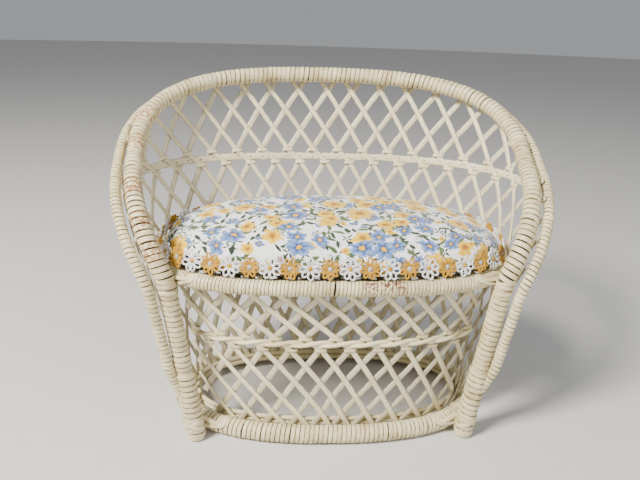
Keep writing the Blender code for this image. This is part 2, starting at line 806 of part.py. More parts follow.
def face_reach(point):
    """Distance from the middle to the cushion's waist outline, in the direction of a point."""
    return seat_ring(plan_direction(point.x, point.y), CUSHION_REACH).xy.length


def stand_centred(origin):
    """Move the whole settee so that its box is centred from front to back and stands on the floor."""
    bpy.context.view_layer.update()
    graph = bpy.context.evaluated_depsgraph_get()
    low, high = Vector((1, 1, 1)), Vector((-1, -1, -1))
    for item in PARTS.objects:
        if item.type in ('MESH', 'CURVE'):
            mesh = item.evaluated_get(graph).to_mesh()
            for vert in mesh.vertices:
                spot = item.matrix_world @ vert.co
                low = Vector(map(min, low, spot))
                high = Vector(map(max, high, spot))
            item.evaluated_get(graph).to_mesh_clear()
    origin.location = (0, -(low.y + high.y) / 2, -low.z)


def main():
    global PARTS
    for item in list(bpy.data.objects):
        bpy.data.objects.remove(item)
    PARTS = bpy.data.collections.new("wicker_settee")
    bpy.context.scene.collection.children.link(PARTS)
    add_hoop()
    add_outer_rod()
    add_ring("seat_ring", seat_ring, SEAT_CORE_RADIUS)
    add_ring("base_ring", base_ring, BASE_CORE_RADIUS)
    add_reeds()
    add_wall_lattice()
    add_skirt_lattice()
    add_bands()
    add_deck()
    add_straps()
    add_cushion()
    origin = bpy.data.objects.new("settee_origin", None)
    PARTS.objects.link(origin)
    for item in PARTS.objects:
        if item.parent is None and item is not origin:
            item.parent = origin
    stand_centred(origin)


PARTS = None
main()
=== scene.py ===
"""Doll's wicker settee: wound cane poles, crossed splints and a loose cushion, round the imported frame.

Metres, +Z up, front towards -Y. The outlines and centre lines below are the part's own.
"""

from math import atan2, cos, pi, radians, sin, sqrt

import bmesh
import bpy
import numpy as np
from mathutils import Matrix, Vector


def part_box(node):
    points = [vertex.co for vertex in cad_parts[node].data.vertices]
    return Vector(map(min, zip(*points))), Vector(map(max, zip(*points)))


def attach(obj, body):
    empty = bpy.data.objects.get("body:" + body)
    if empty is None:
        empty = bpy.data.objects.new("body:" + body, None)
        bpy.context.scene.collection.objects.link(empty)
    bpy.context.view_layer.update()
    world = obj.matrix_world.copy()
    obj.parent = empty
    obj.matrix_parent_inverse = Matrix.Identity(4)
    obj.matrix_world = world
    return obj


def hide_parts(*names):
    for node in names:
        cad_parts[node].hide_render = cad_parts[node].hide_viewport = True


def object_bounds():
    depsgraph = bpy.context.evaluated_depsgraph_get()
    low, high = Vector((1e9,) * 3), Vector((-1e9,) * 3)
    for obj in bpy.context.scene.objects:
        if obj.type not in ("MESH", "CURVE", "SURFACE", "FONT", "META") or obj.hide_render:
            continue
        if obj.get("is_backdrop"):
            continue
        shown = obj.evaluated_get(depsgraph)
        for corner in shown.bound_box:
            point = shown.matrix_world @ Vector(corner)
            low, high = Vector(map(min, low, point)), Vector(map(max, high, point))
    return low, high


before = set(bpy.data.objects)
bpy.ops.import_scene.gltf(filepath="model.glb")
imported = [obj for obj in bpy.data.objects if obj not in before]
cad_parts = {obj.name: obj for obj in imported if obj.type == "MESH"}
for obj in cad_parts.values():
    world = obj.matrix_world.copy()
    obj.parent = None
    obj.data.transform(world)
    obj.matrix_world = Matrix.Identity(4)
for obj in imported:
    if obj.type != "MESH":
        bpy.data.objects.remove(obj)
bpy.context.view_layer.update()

# ---- the part's driving dimensions --------------------------------------------------------------------
GAP = 0.0003                      # between pieces that touch
PEEL = 0.0010                     # thickness of a layer of wound peel
POLE_SIDES, ROD_SIDES = 8, 6      # of the part's faceted cores
SEAT_HEIGHT = 0.1145              # centre line of the seat ring
HOOP_HEIGHT = 0.2245              # centre line of the top rail
WALL_FOOT_HALF_WIDTH = 0.0962
WALL_FOOT_FRONT = 0.0500
WALL_FOOT_BACK = 0.0445
WALL_SIDE_FLARE = 0.240
WALL_BACK_FLARE = 0.270
WALL_SQUARENESS = 2.4
SEAT_FRONT = 0.0655
SEAT_FRONT_SQUARENESS = 2.9
LEG_ANGLE = radians(51.0)
ARM_RISE = 1.54
ARM_SWEEP = 0.90
HOOP_CORE, ROD_CORE, SEAT_CORE, BASE_CORE = 0.0040, 0.0018, 0.0033, 0.0046
HOOP_RADIUS = HOOP_CORE / cos(pi / POLE_SIDES) + GAP + PEEL
ROD_RADIUS = ROD_CORE / cos(pi / ROD_SIDES) + GAP + PEEL
SEAT_RADIUS = SEAT_CORE / cos(pi / POLE_SIDES) + GAP + PEEL
BASE_RADIUS = BASE_CORE / cos(pi / POLE_SIDES) + GAP + PEEL
LEG_PEEL = 0.0018
LEG_BINDING_RADIUS = HOOP_CORE / cos(pi / POLE_SIDES) + GAP + LEG_PEEL
LEG_BINDING_HEIGHT = 0.052
FOOT_STUB = 0.0060                # the lowest stretch of a leg stands upright
REED_RADIUS = 0.0016
HALF_LATTICE = 0.0008 + GAP
DIAMOND_WIDTH = 0.0180            # along the wall at seat height
BACK_BAND_LEVEL = 0.1625
SKIRT_BAND_LEVEL = 0.0720
DECK_LEVEL = SEAT_HEIGHT
DECK_THICKNESS = 0.0016
SKIRT_TOP = DECK_LEVEL - DECK_THICKNESS / 2 - GAP
LEG_TOP = SEAT_HEIGHT
CUSHION_HEIGHT = 0.0300
CUSHION_REACH = -0.0024           # its widest part, from the seat ring's centre line outwards
CUSHION_FOOT = DECK_LEVEL + DECK_THICKNESS / 2 + GAP
SOLVED = {}


# ---- outlines, surfaces and centre lines --------------------------------------------------------------
def outline(angle, half_width, front, back, front_exponent, back_exponent):
    """Point on a rounded plan outline; angle 0 is the front, pi the back."""
    s, c = sin(angle), cos(angle)
    depth, power = (front, 2 / front_exponent) if c > 0 else (back, 2 / back_exponent)
    x = half_width * abs(s) ** power * (1 if s > 0 else -1)
    y = -depth * abs(c) ** power * (1 if c > 0 else -1)
    return Vector((x, y))


def outward(curve, angle, offset):
    step = 1e-3
    tangent = curve(angle + step) - curve(angle - step)
    tangent.normalize()
    return curve(angle) + offset * Vector((tangent.y, -tangent.x))


def wall_outline(angle, level):
    rise = level - BASE_RADIUS
    return outline(angle,
                   WALL_FOOT_HALF_WIDTH + WALL_SIDE_FLARE * rise,
                   WALL_FOOT_FRONT + corner_flare() * rise,
                   WALL_FOOT_BACK + WALL_BACK_FLARE * rise,
                   WALL_SQUARENESS, WALL_SQUARENESS)


def leaning(curve_at, angle, level, offset):
    """Point of a leaning surface, moved square to it by offset but kept on its level."""
    p = curve_at(angle, level)
    normal = (outward(lambda a: curve_at(a, level), angle, 1.0) - p).normalized()
    step = 1e-3
    lean = (curve_at(angle, level + step) - p).dot(normal) / step
    p = p + normal * offset * sqrt(1 + lean ** 2)
    return Vector((p.x, p.y, level))


def wall(angle, level, offset=0.0):
    return leaning(wall_outline, angle, level, offset)


def base_outline(angle):
    reach = (HALF_LATTICE + BASE_RADIUS) * sqrt(1 + WALL_BACK_FLARE ** 2)

    def foot(a):
        return outline(a, WALL_FOOT_HALF_WIDTH, WALL_FOOT_FRONT, WALL_FOOT_BACK,
                       WALL_SQUARENESS, WALL_SQUARENESS)

    return outward(foot, angle, reach)


def base_ring(angle, offset=0.0):
    p = outward(base_outline, angle, offset)
    return Vector((p.x, p.y, BASE_RADIUS))


def seat_outline(angle):
    rise = SEAT_HEIGHT - BASE_RADIUS
    inset = (HALF_LATTICE + SEAT_RADIUS) * sqrt(1 + WALL_BACK_FLARE ** 2) + 2 * GAP
    return outline(angle,
                   WALL_FOOT_HALF_WIDTH + WALL_SIDE_FLARE * rise - inset,
                   SEAT_FRONT,
                   WALL_FOOT_BACK + WALL_BACK_FLARE * rise - inset,
                   SEAT_FRONT_SQUARENESS, WALL_SQUARENESS)


def seat_ring(angle, offset=0.0):
    p = outward(seat_outline, angle, offset)
    return Vector((p.x, p.y, SEAT_HEIGHT))


def skirt_outline(angle, level):
    share = (level - BASE_RADIUS) / (SEAT_HEIGHT - BASE_RADIUS)
    low = outward(base_outline, angle, -(HALF_LATTICE + BASE_RADIUS + GAP))
    high = outward(seat_outline, angle, -(HALF_LATTICE + SEAT_RADIUS + GAP))
    return low.lerp(high, share)


def skirt(angle, level, offset=0.0):
    return leaning(skirt_outline, angle, level, offset)


def leg_point(level):
    foot = base_ring(LEG_ANGLE, BASE_RADIUS + LEG_BINDING_RADIUS + GAP)
    head = seat_ring(LEG_ANGLE, SEAT_RADIUS + HOOP_RADIUS + GAP)
    p = foot.lerp(head, level / LEG_TOP)
    return Vector((p.x, p.y, level))


def nearest_angle(curve, point):
    low, high = radians(20), radians(100)
    for _ in range(40):
        a, b = low + (high - low) * 0.4, low + (high - low) * 0.6
        if (curve(a) - point).length < (curve(b) - point).length:
            high = b
        else:
            low = a
    return (low + high) / 2


def corner_flare():
    """Lean of the wall's front corners, so that the leg's head stands just inside the wall."""
    if "flare" not in SOLVED:
        head = leg_point(LEG_TOP).xy
        reach = HALF_LATTICE + HOOP_RADIUS
        low, high = 0.0, 3.0
        for _ in range(40):
            SOLVED["flare"] = (low + high) / 2
            angle = nearest_angle(lambda a: wall_outline(a, LEG_TOP), head)
            inner = wall(angle, LEG_TOP, -reach).xy
            outside = (wall_outline(angle, LEG_TOP) - inner).dot(head - inner) > 0
            low, high = (SOLVED["flare"], high) if outside else (low, SOLVED["flare"])
    return SOLVED["flare"]


def smooth(share):
    share = min(max(share, 0.0), 1.0)
    return share * share * (3 - 2 * share)


def leg_head_angle():
    if "head" not in SOLVED:
        corner_flare()
        SOLVED["head"] = nearest_angle(lambda a: wall_outline(a, LEG_TOP), leg_point(LEG_TOP).xy)
    return SOLVED["head"]


def arm_course(share):
    """Plan angle and level of the hoop, from the leg's head (0) to the middle of the back (1)."""
    turn = share * pi / 2
    start = leg_head_angle()
    angle = start + (pi - start) * (1 - cos(turn) ** ARM_SWEEP)
    return angle, LEG_TOP + (HOOP_HEIGHT - LEG_TOP) * sin(turn) ** ARM_RISE


def half_hoop():
    inset = HALF_LATTICE + HOOP_RADIUS
    points = [leg_point(FOOT_STUB)] + [leg_point(LEG_TOP * k / 5) for k in range(1, 5)]
    return points + [wall(*arm_course(k / 24), -inset) for k in range(25)]


def half_rod(low):
    """Right half of the outer rod, from a level on the leg to the middle of the back."""
    sink, sink_below, sink_run = 0.0052, 0.016, 0.022    # its end goes in under the leg's binding
    beside_leg = HOOP_RADIUS + ROD_RADIUS + GAP
    beside_wall = beside_leg + 2 * HALF_LATTICE - GAP
    angle = leg_head_angle()
    outwards = (wall(angle, LEG_TOP, 1.0) - wall(angle, LEG_TOP)).normalized()
    points = []
    for k in range(9):
        level = low + (LEG_TOP - low) * k / 9
        above = (level - LEG_BINDING_HEIGHT) / (LEG_TOP - LEG_BINDING_HEIGHT)
        reach = beside_leg + (beside_wall - beside_leg) * smooth(above)
        sunk = 1 - smooth((level - LEG_BINDING_HEIGHT + sink_below) / sink_run)
        points.append(leg_point(level) + outwards * (reach - sink * sunk))
    for k in range(25):
        turn_angle, level = arm_course(k / 24)
        points.append(wall(turn_angle, level - ROD_RADIUS * smooth(k / 6), HALF_LATTICE + GAP + ROD_RADIUS))
    return points


def mirrored(half):
    left = [Vector((-p.x, p.y, p.z)) for p in half]
    return left[:-1] + [Vector((0, half[-1].y, half[-1].z))] + list(reversed(half[:-1]))


def own_ring_middle():
    ys = [base_ring(2 * pi * k / 720).y for k in range(720)]
    return (min(ys) + max(ys)) / 2


core_low, core_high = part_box("base_ring_core")
SHIFT = (core_low.y + core_high.y) / 2 - own_ring_middle()


# ---- meshes -------------------------------------------------------------------------------------------
class Skin:
    """Gathers lofted strips and tubes into one piece, with named values at each point."""

    def __init__(self):
        self.verts, self.faces, self.values, self.count = [], [], {}, 0

    def loft(self, sections, closed=False, caps=True, **values):
        """Skin over rings of points, an array of rings by points by three."""
        rings, points, _ = sections.shape
        index = self.count + np.arange(rings * points).reshape(rings, points)
        if closed:
            index = np.vstack([index, index[:1]])
        after = np.roll(index, -1, axis=1)
        quads = np.stack([index[:-1], after[:-1], after[1:], index[1:]], axis=-1).reshape(-1, 4)
        self.faces += quads.tolist()
        if caps and not closed:
            self.faces += [index[0][::-1].tolist(), index[-1].tolist()]
        self.verts.append(sections.reshape(-1, 3))
        for key, value in values.items():
            spread = np.broadcast_to(np.asarray(value, float), (rings, points)).reshape(-1)
            self.values.setdefault(key, []).append(spread)
        self.count += rings * points

    def piece(self, name, material, body="frame", stands_for=(), slot=None, lift=(0, 0, 0)):
        data = bpy.data.meshes.new(name)
        verts = np.concatenate(self.verts) + np.array(lift) + np.array((0, SHIFT, 0))
        data.from_pydata(verts.tolist(), [], self.faces)
        for key, columns in self.values.items():
            attribute = data.attributes.new(key, 'FLOAT', 'POINT')
            attribute.data.foreach_set("value", np.concatenate(columns).astype(np.float32))
        work = bmesh.new()
        work.from_mesh(data)
        bmesh.ops.recalc_face_normals(work, faces=work.faces)
        work.to_mesh(data)
        work.free()
        data.shade_smooth()
        data.set_sharp_from_angle(angle=radians(55))
        return place_piece(name, data, material, body, stands_for)


def place_piece(name, data, material, body, stands_for):
    item = bpy.data.objects.new(name, data)
    bpy.context.scene.collection.objects.link(item)
    data.materials.append(material)
    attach(item, body)
    if stands_for:
        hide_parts(*stands_for)
    return item


def course(line, closed=False, step=0.0015):
    """Even, rounded centre line with distances, unit tangents and two steady cross directions."""
    points = np.array([tuple(p) for p in line], float)
    if closed:
        points = np.vstack([points, points[:1]])
    reach = np.concatenate([[0], np.cumsum(np.linalg.norm(np.diff(points, axis=0), axis=1))])
    count = max(8, int(reach[-1] / step))
    marks = np.linspace(0, reach[-1], count + 1)
    even = np.stack([np.interp(marks, reach, points[:, k]) for k in range(3)], axis=1)
    for _ in range(6):
        if closed:
            ring = even[:-1]
            ring = (np.roll(ring, 1, axis=0) + 2 * ring + np.roll(ring, -1, axis=0)) / 4
            even = np.vstack([ring, ring[:1]])
        else:
            even[1:-1] = (even[:-2] + 2 * even[1:-1] + even[2:]) / 4
    if closed:
        tangents = np.roll(even[:-1], -1, axis=0) - np.roll(even[:-1], 1, axis=0)
        tangents = np.vstack([tangents, tangents[:1]])
    else:
        tangents = np.gradient(even, axis=0)
    tangents /= np.linalg.norm(tangents, axis=1)[:, None]
    side = np.cross(tangents[0], (0, 0, 1))
    if np.linalg.norm(side) < 0.2:
        side = np.cross(tangents[0], (1, 0, 0))
    sides = []
    for tangent in tangents:
        side = side - tangent * np.dot(side, tangent)
        side = side / np.linalg.norm(side)
        sides.append(side)
    sides = np.array(sides)
    ups = np.cross(sides, tangents)
    reach = np.concatenate([[0], np.cumsum(np.linalg.norm(np.diff(even, axis=0), axis=1))])
    return {"points": even, "tangents": tangents, "sides": sides, "ups": ups, "reach": reach}


def along(way, name, marks):
    return np.stack([np.interp(marks, way["reach"], way[name][:, k]) for k in range(3)], axis=1)


def tube(skin, line, radius, closed=False, sides=10, step=0.003, **values):
    """Round rod along a line."""
    way = course(line, closed)
    count = max(6, int(way["reach"][-1] / step))
    marks = np.linspace(0, way["reach"][-1], count, endpoint=not closed)
    turns = np.arange(sides) * 2 * pi / sides
    ring = (np.cos(turns)[None, :, None] * along(way, "sides", marks)[:, None, :]
            + np.sin(turns)[None, :, None] * along(way, "ups", marks)[:, None, :])
    skin.loft(along(way, "points", marks)[:, None, :] + ring * radius, closed, **values)


# A strand of peel in section: across its width, and how high it stands, both as shares.
PEEL_ACROSS = np.array([-0.50, -0.44, -0.20, 0.20, 0.44, 0.50, 0.50, -0.50])
PEEL_HEIGHT = np.array([0.42, 0.93, 1.00, 1.00, 0.93, 0.42, 0.00, 0.00])


UNEVEN_LIFT, UNEVEN_LEAN = 0.00009, 0.07    # spread of a turn's height, and of its tilt across


def wind(skin, line, radius, width, thick, rng, closed=False, first=0.0, last=None, sections=16,
         loose=0.10, wide_gap=0.20):
    """Cane peel wound round a pole, turn against turn, with an uneven lay.

    A share of the turns, loose, leaves a gap of wide_gap widths; last is where the winding ends.
    """
    way = course(line, closed)
    last = way["reach"][-1] - first if last is None else last
    marks = [first]
    while marks[-1] < last - width * 1.02:
        spare = wide_gap if rng.random() < loose else 0.02 + 0.05 * rng.random()
        marks.append(marks[-1] + width * (1 + spare))
    marks = first + (np.array(marks) - first) * (last - first) / (marks[-1] - first)
    turns = len(marks) - 1
    phase = np.arange(turns * sections + 1) / sections
    knots = np.arange(turns + 1)
    mid = np.interp(phase, knots, marks)
    halves = np.arange(2 * turns + 3) / 2
    lift = np.interp(phase, halves, rng.normal(0, UNEVEN_LIFT, len(halves)))
    lean = np.interp(phase, knots, rng.normal(0, UNEVEN_LEAN, turns + 1))
    tone = np.interp(phase, halves, rng.random(len(halves)))
    turn = 2 * pi * phase
    radial = (np.cos(turn)[:, None] * along(way, "sides", mid)
              + np.sin(turn)[:, None] * along(way, "ups", mid))
    tangent = along(way, "tangents", mid)
    across = PEEL_ACROSS[None, :] * width * 0.985
    height = radius - thick + PEEL_HEIGHT[None, :] * thick + lift[:, None] + across * lean[:, None]
    height[:, PEEL_HEIGHT == 0] = radius - thick
    sections_at = (along(way, "points", mid)[:, None, :] + tangent[:, None, :] * across[:, :, None]
                   + radial[:, None, :] * height[:, :, None])
    edge = np.abs(PEEL_ACROSS) * 2
    skin.loft(sections_at, tone=tone[:, None], edge=edge[None, :], across=across,
              run=(turn * radius)[:, None])


STRIP_ACROSS = np.array([-0.50, -0.40, 0.0, 0.40, 0.50, 0.40, 0.0, -0.40])
STRIP_HEIGHT = np.array([0.0, 0.42, 0.50, 0.42, 0.0, -0.46, -0.50, -0.46])


def strip(skin, points, normals, width, thick, tone):
    """Flat splint with rounded edges through points, face along the normals."""
    points, normals = np.array(points, float), np.array(normals, float)
    tangents = np.gradient(points, axis=0)
    tangents /= np.linalg.norm(tangents, axis=1)[:, None]
    normals = normals - tangents * np.sum(normals * tangents, axis=1)[:, None]
    normals /= np.linalg.norm(normals, axis=1)[:, None]
    flanks = np.cross(tangents, normals)
    widths = np.broadcast_to(np.asarray(width, float), (len(points),))
    sections = (points[:, None, :]
                + flanks[:, None, :] * (STRIP_ACROSS[None, :] * widths[:, None])[:, :, None]
                + normals[:, None, :] * (STRIP_HEIGHT * thick)[None, :, None])
    reach = np.concatenate([[0], np.cumsum(np.linalg.norm(np.diff(points, axis=0), axis=1))])
    skin.loft(sections, tone=tone, edge=(np.abs(STRIP_ACROSS) * 2)[None, :],
              across=STRIP_ACROSS[None, :] * widths[:, None], run=reach[:, None] + tone * 3.0)


# ---- shader arithmetic --------------------------------------------------------------------------------
def feed(tree, slot, value):
    """Sets a node's input from a term, a socket, a colour, a vector or a number."""
    value = value.socket if isinstance(value, Term) else value
    if isinstance(value, bpy.types.NodeSocket):
        tree.links.new(value, slot)
    elif slot.type == 'RGBA':
        slot.default_value = (*value, 1)
    else:
        slot.default_value = value


class Term:
    """A number in a node tree; sums and products of terms become Math nodes."""

    def __init__(self, tree, socket):
        self.tree, self.socket = tree, socket

    def math(self, operation, *others):
        node = self.tree.nodes.new('ShaderNodeMath')
        node.operation = operation
        for slot, value in zip(node.inputs, (self, *others)):
            feed(self.tree, slot, value)
        return Term(self.tree, node.outputs[0])

    def __add__(self, other):
        return self.math('ADD', other)

    def __sub__(self, other):
        return self.math('SUBTRACT', other)

    def __mul__(self, other):
        return self.math('MULTIPLY', other)

    def __truediv__(self, other):
        return self.math('DIVIDE', other)

    def ramp(self, low, high):
        """0 below low, 1 above high, soft between; low may be the greater."""
        node = self.tree.nodes.new('ShaderNodeMapRange')
        node.interpolation_type = 'SMOOTHSTEP'
        self.tree.links.new(self.socket, node.inputs["Value"])
        node.inputs["From Min"].default_value = min(low, high)
        node.inputs["From Max"].default_value = max(low, high)
        node.inputs["To Min"].default_value = 0.0 if low <= high else 1.0
        node.inputs["To Max"].default_value = 1.0 if low <= high else 0.0
        return Term(self.tree, node.outputs["Result"])


class Paint:
    """One Principled material and short ways to build its nodes."""

    def __init__(self, name, roughness=0.6, sheen=0.0, specular=0.5):
        self.material = bpy.data.materials.new(name)
        self.material.use_nodes = True
        self.tree = self.material.node_tree
        self.shader = self.tree.nodes["Principled BSDF"]
        self.shader.inputs["Roughness"].default_value = roughness
        self.shader.inputs["Specular IOR Level"].default_value = specular
        if sheen:
            self.shader.inputs["Sheen Weight"].default_value = sheen
            self.shader.inputs["Sheen Roughness"].default_value = 0.5
        coordinates = self.tree.nodes.new('ShaderNodeTexCoord')
        self.place = coordinates.outputs["Object"]

    def value(self, name):
        node = self.tree.nodes.new('ShaderNodeAttribute')
        node.attribute_name = name
        return Term(self.tree, node.outputs["Fac"])

    def vector(self, name):
        node = self.tree.nodes.new('ShaderNodeAttribute')
        node.attribute_name = name
        return node.outputs["Vector"]

    def blend_vectors(self, operation, first, second):
        node = self.tree.nodes.new('ShaderNodeVectorMath')
        node.operation = operation
        for slot, value in zip(node.inputs, (first, second)):
            feed(self.tree, slot, value)
        return node.outputs["Value" if operation in ('DISTANCE', 'LENGTH') else "Vector"]

    def noise(self, scale, detail=3.0, place=None, stretch=None, rough=0.5):
        place = place or self.place
        if stretch:
            place = self.blend_vectors('MULTIPLY', place, stretch)
        node = self.tree.nodes.new('ShaderNodeTexNoise')
        node.inputs["Scale"].default_value = scale
        node.inputs["Detail"].default_value = detail
        node.inputs["Roughness"].default_value = rough
        self.tree.links.new(place, node.inputs["Vector"])
        return Term(self.tree, node.outputs["Fac"])

    def parts(self, vector):
        node = self.tree.nodes.new('ShaderNodeSeparateXYZ')
        self.tree.links.new(vector, node.inputs[0])
        return [Term(self.tree, slot) for slot in node.outputs]

    def joined(self, x, y, z=0.0):
        node = self.tree.nodes.new('ShaderNodeCombineXYZ')
        for slot, value in zip(node.inputs, (x, y, z)):
            feed(self.tree, slot, value)
        return node.outputs[0]

    def mix(self, first, second, share):
        """Colour from first to second; each is a colour or a socket."""
        node = self.tree.nodes.new('ShaderNodeMix')
        node.data_type = 'RGBA'
        for slot, value in ((node.inputs[0], share), (node.inputs[6], first), (node.inputs[7], second)):
            feed(self.tree, slot, value)
        return node.outputs[2]

    def colour(self, socket):
        self.tree.links.new(socket, self.shader.inputs["Base Color"])

    def roughness(self, term):
        self.tree.links.new(term.socket, self.shader.inputs["Roughness"])

    def bump(self, term, strength, distance):
        node = self.tree.nodes.new('ShaderNodeBump')
        node.inputs["Strength"].default_value = strength
        node.inputs["Distance"].default_value = distance
        self.tree.links.new(term.socket, node.inputs["Height"])
        self.tree.links.new(node.outputs[0], self.shader.inputs["Normal"])

    def near(self, spots, reach):
        """1 at any of the spots, fading to 0 at reach from them."""
        total = None
        for spot in spots:
            away = Term(self.tree, self.blend_vectors('DISTANCE', self.place, tuple(spot)))
            mask = away.ramp(reach, reach * 0.25)
            total = mask if total is None else total.math('MAXIMUM', mask)
        return total


# ---- finishes -----------------------------------------------------------------------------------------
CREAM = (0.83, 0.755, 0.475)
CREAM_SHADE = (0.56, 0.455, 0.235)
# Dark brown for grime specks, and for painted shade where a strand's edges dip into the gaps between turns.
GRIME_AND_GAP_SHADE = (0.15, 0.095, 0.045)
BARE_CANE = (0.36, 0.15, 0.055)
WORN_CANE = (0.40, 0.14, 0.05)
STAIN = (0.15, 0.035, 0.015)
GAP_SHADOW = (0.045, 0.030, 0.018)


def painted_cane(name, light, shade, chips=(), chip_reach=0.02, chip_colour=BARE_CANE, grain=1.0):
    """Brushed cream paint on cane, with grime and painted shade at the strand's edges and chips down to the
    cane.
    """
    paint = Paint(name, 0.45)
    tone, edge = paint.value("tone"), paint.value("edge")
    fibres = paint.noise(1.0, 3.0, paint.joined(paint.value("across") * 2600.0, paint.value("run") * 150.0))
    patches = paint.noise(75.0, 4.0)
    colour = paint.mix(light, shade, tone * 0.50 + patches.ramp(0.42, 0.72) * 0.7)
    colour = paint.mix(colour, shade, fibres.ramp(0.48, 0.70) * 0.65)
    # Painted shade with some grime: the outer share of each strand's width darkens, standing for the shade
    # in the gaps between turns.
    edge_grime_and_shade = edge.ramp(0.66, 1.0) * paint.noise(260.0, 3.0).ramp(0.34, 0.58)
    colour = paint.mix(colour, GRIME_AND_GAP_SHADE, edge_grime_and_shade * 0.78)
    specks = paint.noise(900.0, 2.0).ramp(0.70, 0.76)
    colour = paint.mix(colour, GRIME_AND_GAP_SHADE, specks * 0.55)
    if chips:
        worn = paint.near(chips, chip_reach) * paint.noise(520.0, 4.0).ramp(0.50, 0.545)
        colour = paint.mix(colour, chip_colour, worn * 0.95)
    paint.colour(colour)
    paint.roughness(fibres * 0.25 + 0.36)
    paint.bump(fibres * 0.6 + paint.noise(420.0, 3.0) * 0.6, 0.45 * grain, 0.0003)
    return paint.material


def plain_cane(name, colour, roughness):
    paint = Paint(name, roughness)
    speckle = paint.noise(420.0, 4.0)
    darker = tuple(c * 0.45 for c in colour)
    paint.colour(paint.mix(colour, darker, speckle.ramp(0.4, 0.7)))
    paint.bump(speckle, 0.4, 0.0003)
    return paint.material


def at(point):
    """A centre-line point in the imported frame's coordinates."""
    return (point.x, point.y + SHIFT, point.z)


def on_hoop(share, side):
    p = wall(*arm_course(share), -HALF_LATTICE - HOOP_RADIUS)
    return at(Vector((side * p.x, p.y, p.z)))


arm_chips = [on_hoop(share, -1) for share in (0.20, 0.30, 0.40, 0.52, 0.63)]
seat_stains = [at(seat_ring(radians(a), 0.003) + Vector((0, 0, 0.003))) for a in (4, 7, 10)]
pole_paint = painted_cane("painted_peel_pole", CREAM, CREAM_SHADE, arm_chips, 0.013, WORN_CANE)
rod_paint = painted_cane("painted_peel_rod", CREAM, CREAM_SHADE)
seat_paint = painted_cane("painted_peel_seat", CREAM, CREAM_SHADE, seat_stains, 0.0075, STAIN)
base_paint = painted_cane("painted_peel_base", CREAM, CREAM_SHADE)
splint_paint = painted_cane("painted_splint", CREAM, (0.66, 0.58, 0.38), grain=0.8)
# Painted shade: a darker copy of the splint paint for the layer that lies behind the nearer one, in its
# shade.
behind_layer_shaded_paint = painted_cane("painted_splint_behind_shaded", (0.74, 0.68, 0.48), (0.56, 0.48, 0.31), grain=0.8)
reed_paint = painted_cane("painted_reed", CREAM, CREAM_SHADE)
deck_paint = painted_cane("seat_splint", (0.58, 0.50, 0.33), (0.34, 0.27, 0.16))
# Painted shade with some dirt: near-black for the cores, which show through the gaps between turns of peel.
core_gap_shade_and_dirt = plain_cane("core_painted_shade_and_dirt", GAP_SHADOW, 0.9)
pin_rust = plain_cane("pin_rust", (0.09, 0.045, 0.025), 0.7)

for node in ("hoop_core", "outer_rod_core", "seat_ring_core", "base_ring_core"):
    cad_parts[node].data.materials.clear()
    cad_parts[node].data.materials.append(core_gap_shade_and_dirt)


# ---- poles and rings ----------------------------------------------------------------------------------
rng = np.random.default_rng(11)


def raised(point, level):
    return Vector((point.x, point.y, level))


def distance_along(line):
    return sum((b - a).length for a, b in zip(line, line[1:]))


def wound_piece(name, line, radius, width, paint, stands_for, thick=0.0010, **lay):
    """Winding of peel of one width along one pole or ring, as a piece."""
    skin = Skin()
    wind(skin, line, radius, width, thick, rng, **lay)
    skin.piece(name, paint, slot="painted_cane", stands_for=stands_for)


leg_length = LEG_BINDING_HEIGHT - FOOT_STUB
wound_piece("hoop_wrapping", mirrored(half_hoop()), HOOP_RADIUS, 0.0034, pole_paint,
            ["hoop_wrap_left_arm", "hoop_wrap_top_rail", "hoop_wrap_right_arm"], 0.0011,
            first=leg_length - 0.001, sections=18)

# Level and radius of the foot's rounded underside.
FOOT_PROFILE = ((0.0000, 0.0030), (0.0003, 0.0045), (0.0012, 0.0056), (0.0030, 0.0057), (0.0050, 0.0050))
for side, name in ((-1, "left"), (1, "right")):
    leg = [raised(leg_point(FOOT_STUB), 0.0012)]
    leg += [leg_point(FOOT_STUB + leg_length * k / 8) for k in range(9)]
    leg = [Vector((side * p.x, p.y, p.z)) for p in leg]
    skin = Skin()
    wind(skin, leg, LEG_BINDING_RADIUS, 0.0037, 0.0016, rng, first=0.0018,
         last=distance_along(leg) + 0.0008, sections=18)
    foot = leg[0]
    turns = np.arange(20) * 2 * pi / 20
    rings = [[(foot.x + r * cos(t), foot.y + r * sin(t), z) for t in turns] for z, r in FOOT_PROFILE]
    skin.loft(np.array(rings), tone=0.5, edge=0.6, across=0.0, run=0.0)
    skin.piece("leg_wrapping_" + name, pole_paint, slot="painted_cane", stands_for=["leg_binding_" + name])

wound_piece("outer_rod_wrapping", mirrored(half_rod(LEG_BINDING_HEIGHT - 0.014)), ROD_RADIUS, 0.0028,
            rod_paint, ["outer_rod_wrap_left", "outer_rod_wrap_back", "outer_rod_wrap_right"], sections=14)


def ring_line(curve):
    return [curve(pi + 2 * pi * k / 360) for k in range(360)]


wound_piece("seat_ring_wrapping", ring_line(seat_ring), SEAT_RADIUS, 0.00215, seat_paint,
            ["seat_ring_wrap_front", "seat_ring_wrap_back"], closed=True, sections=14, loose=0.06,
            wide_gap=0.5)
wound_piece("base_ring_wrapping", ring_line(base_ring), BASE_RADIUS - 0.0003, 0.0029, base_paint,
            ["base_ring_wrap_front", "base_ring_wrap_back"], 0.0011, closed=True)


# ---- lattice ------------------------------------------------------------------------------------------
def arc_table(curve, start, end, count=400):
    angles = np.linspace(start, end, count + 1)
    points = np.array([tuple(curve(a)) for a in angles])
    return angles, np.concatenate([[0], np.cumsum(np.linalg.norm(np.diff(points, axis=0), axis=1))])


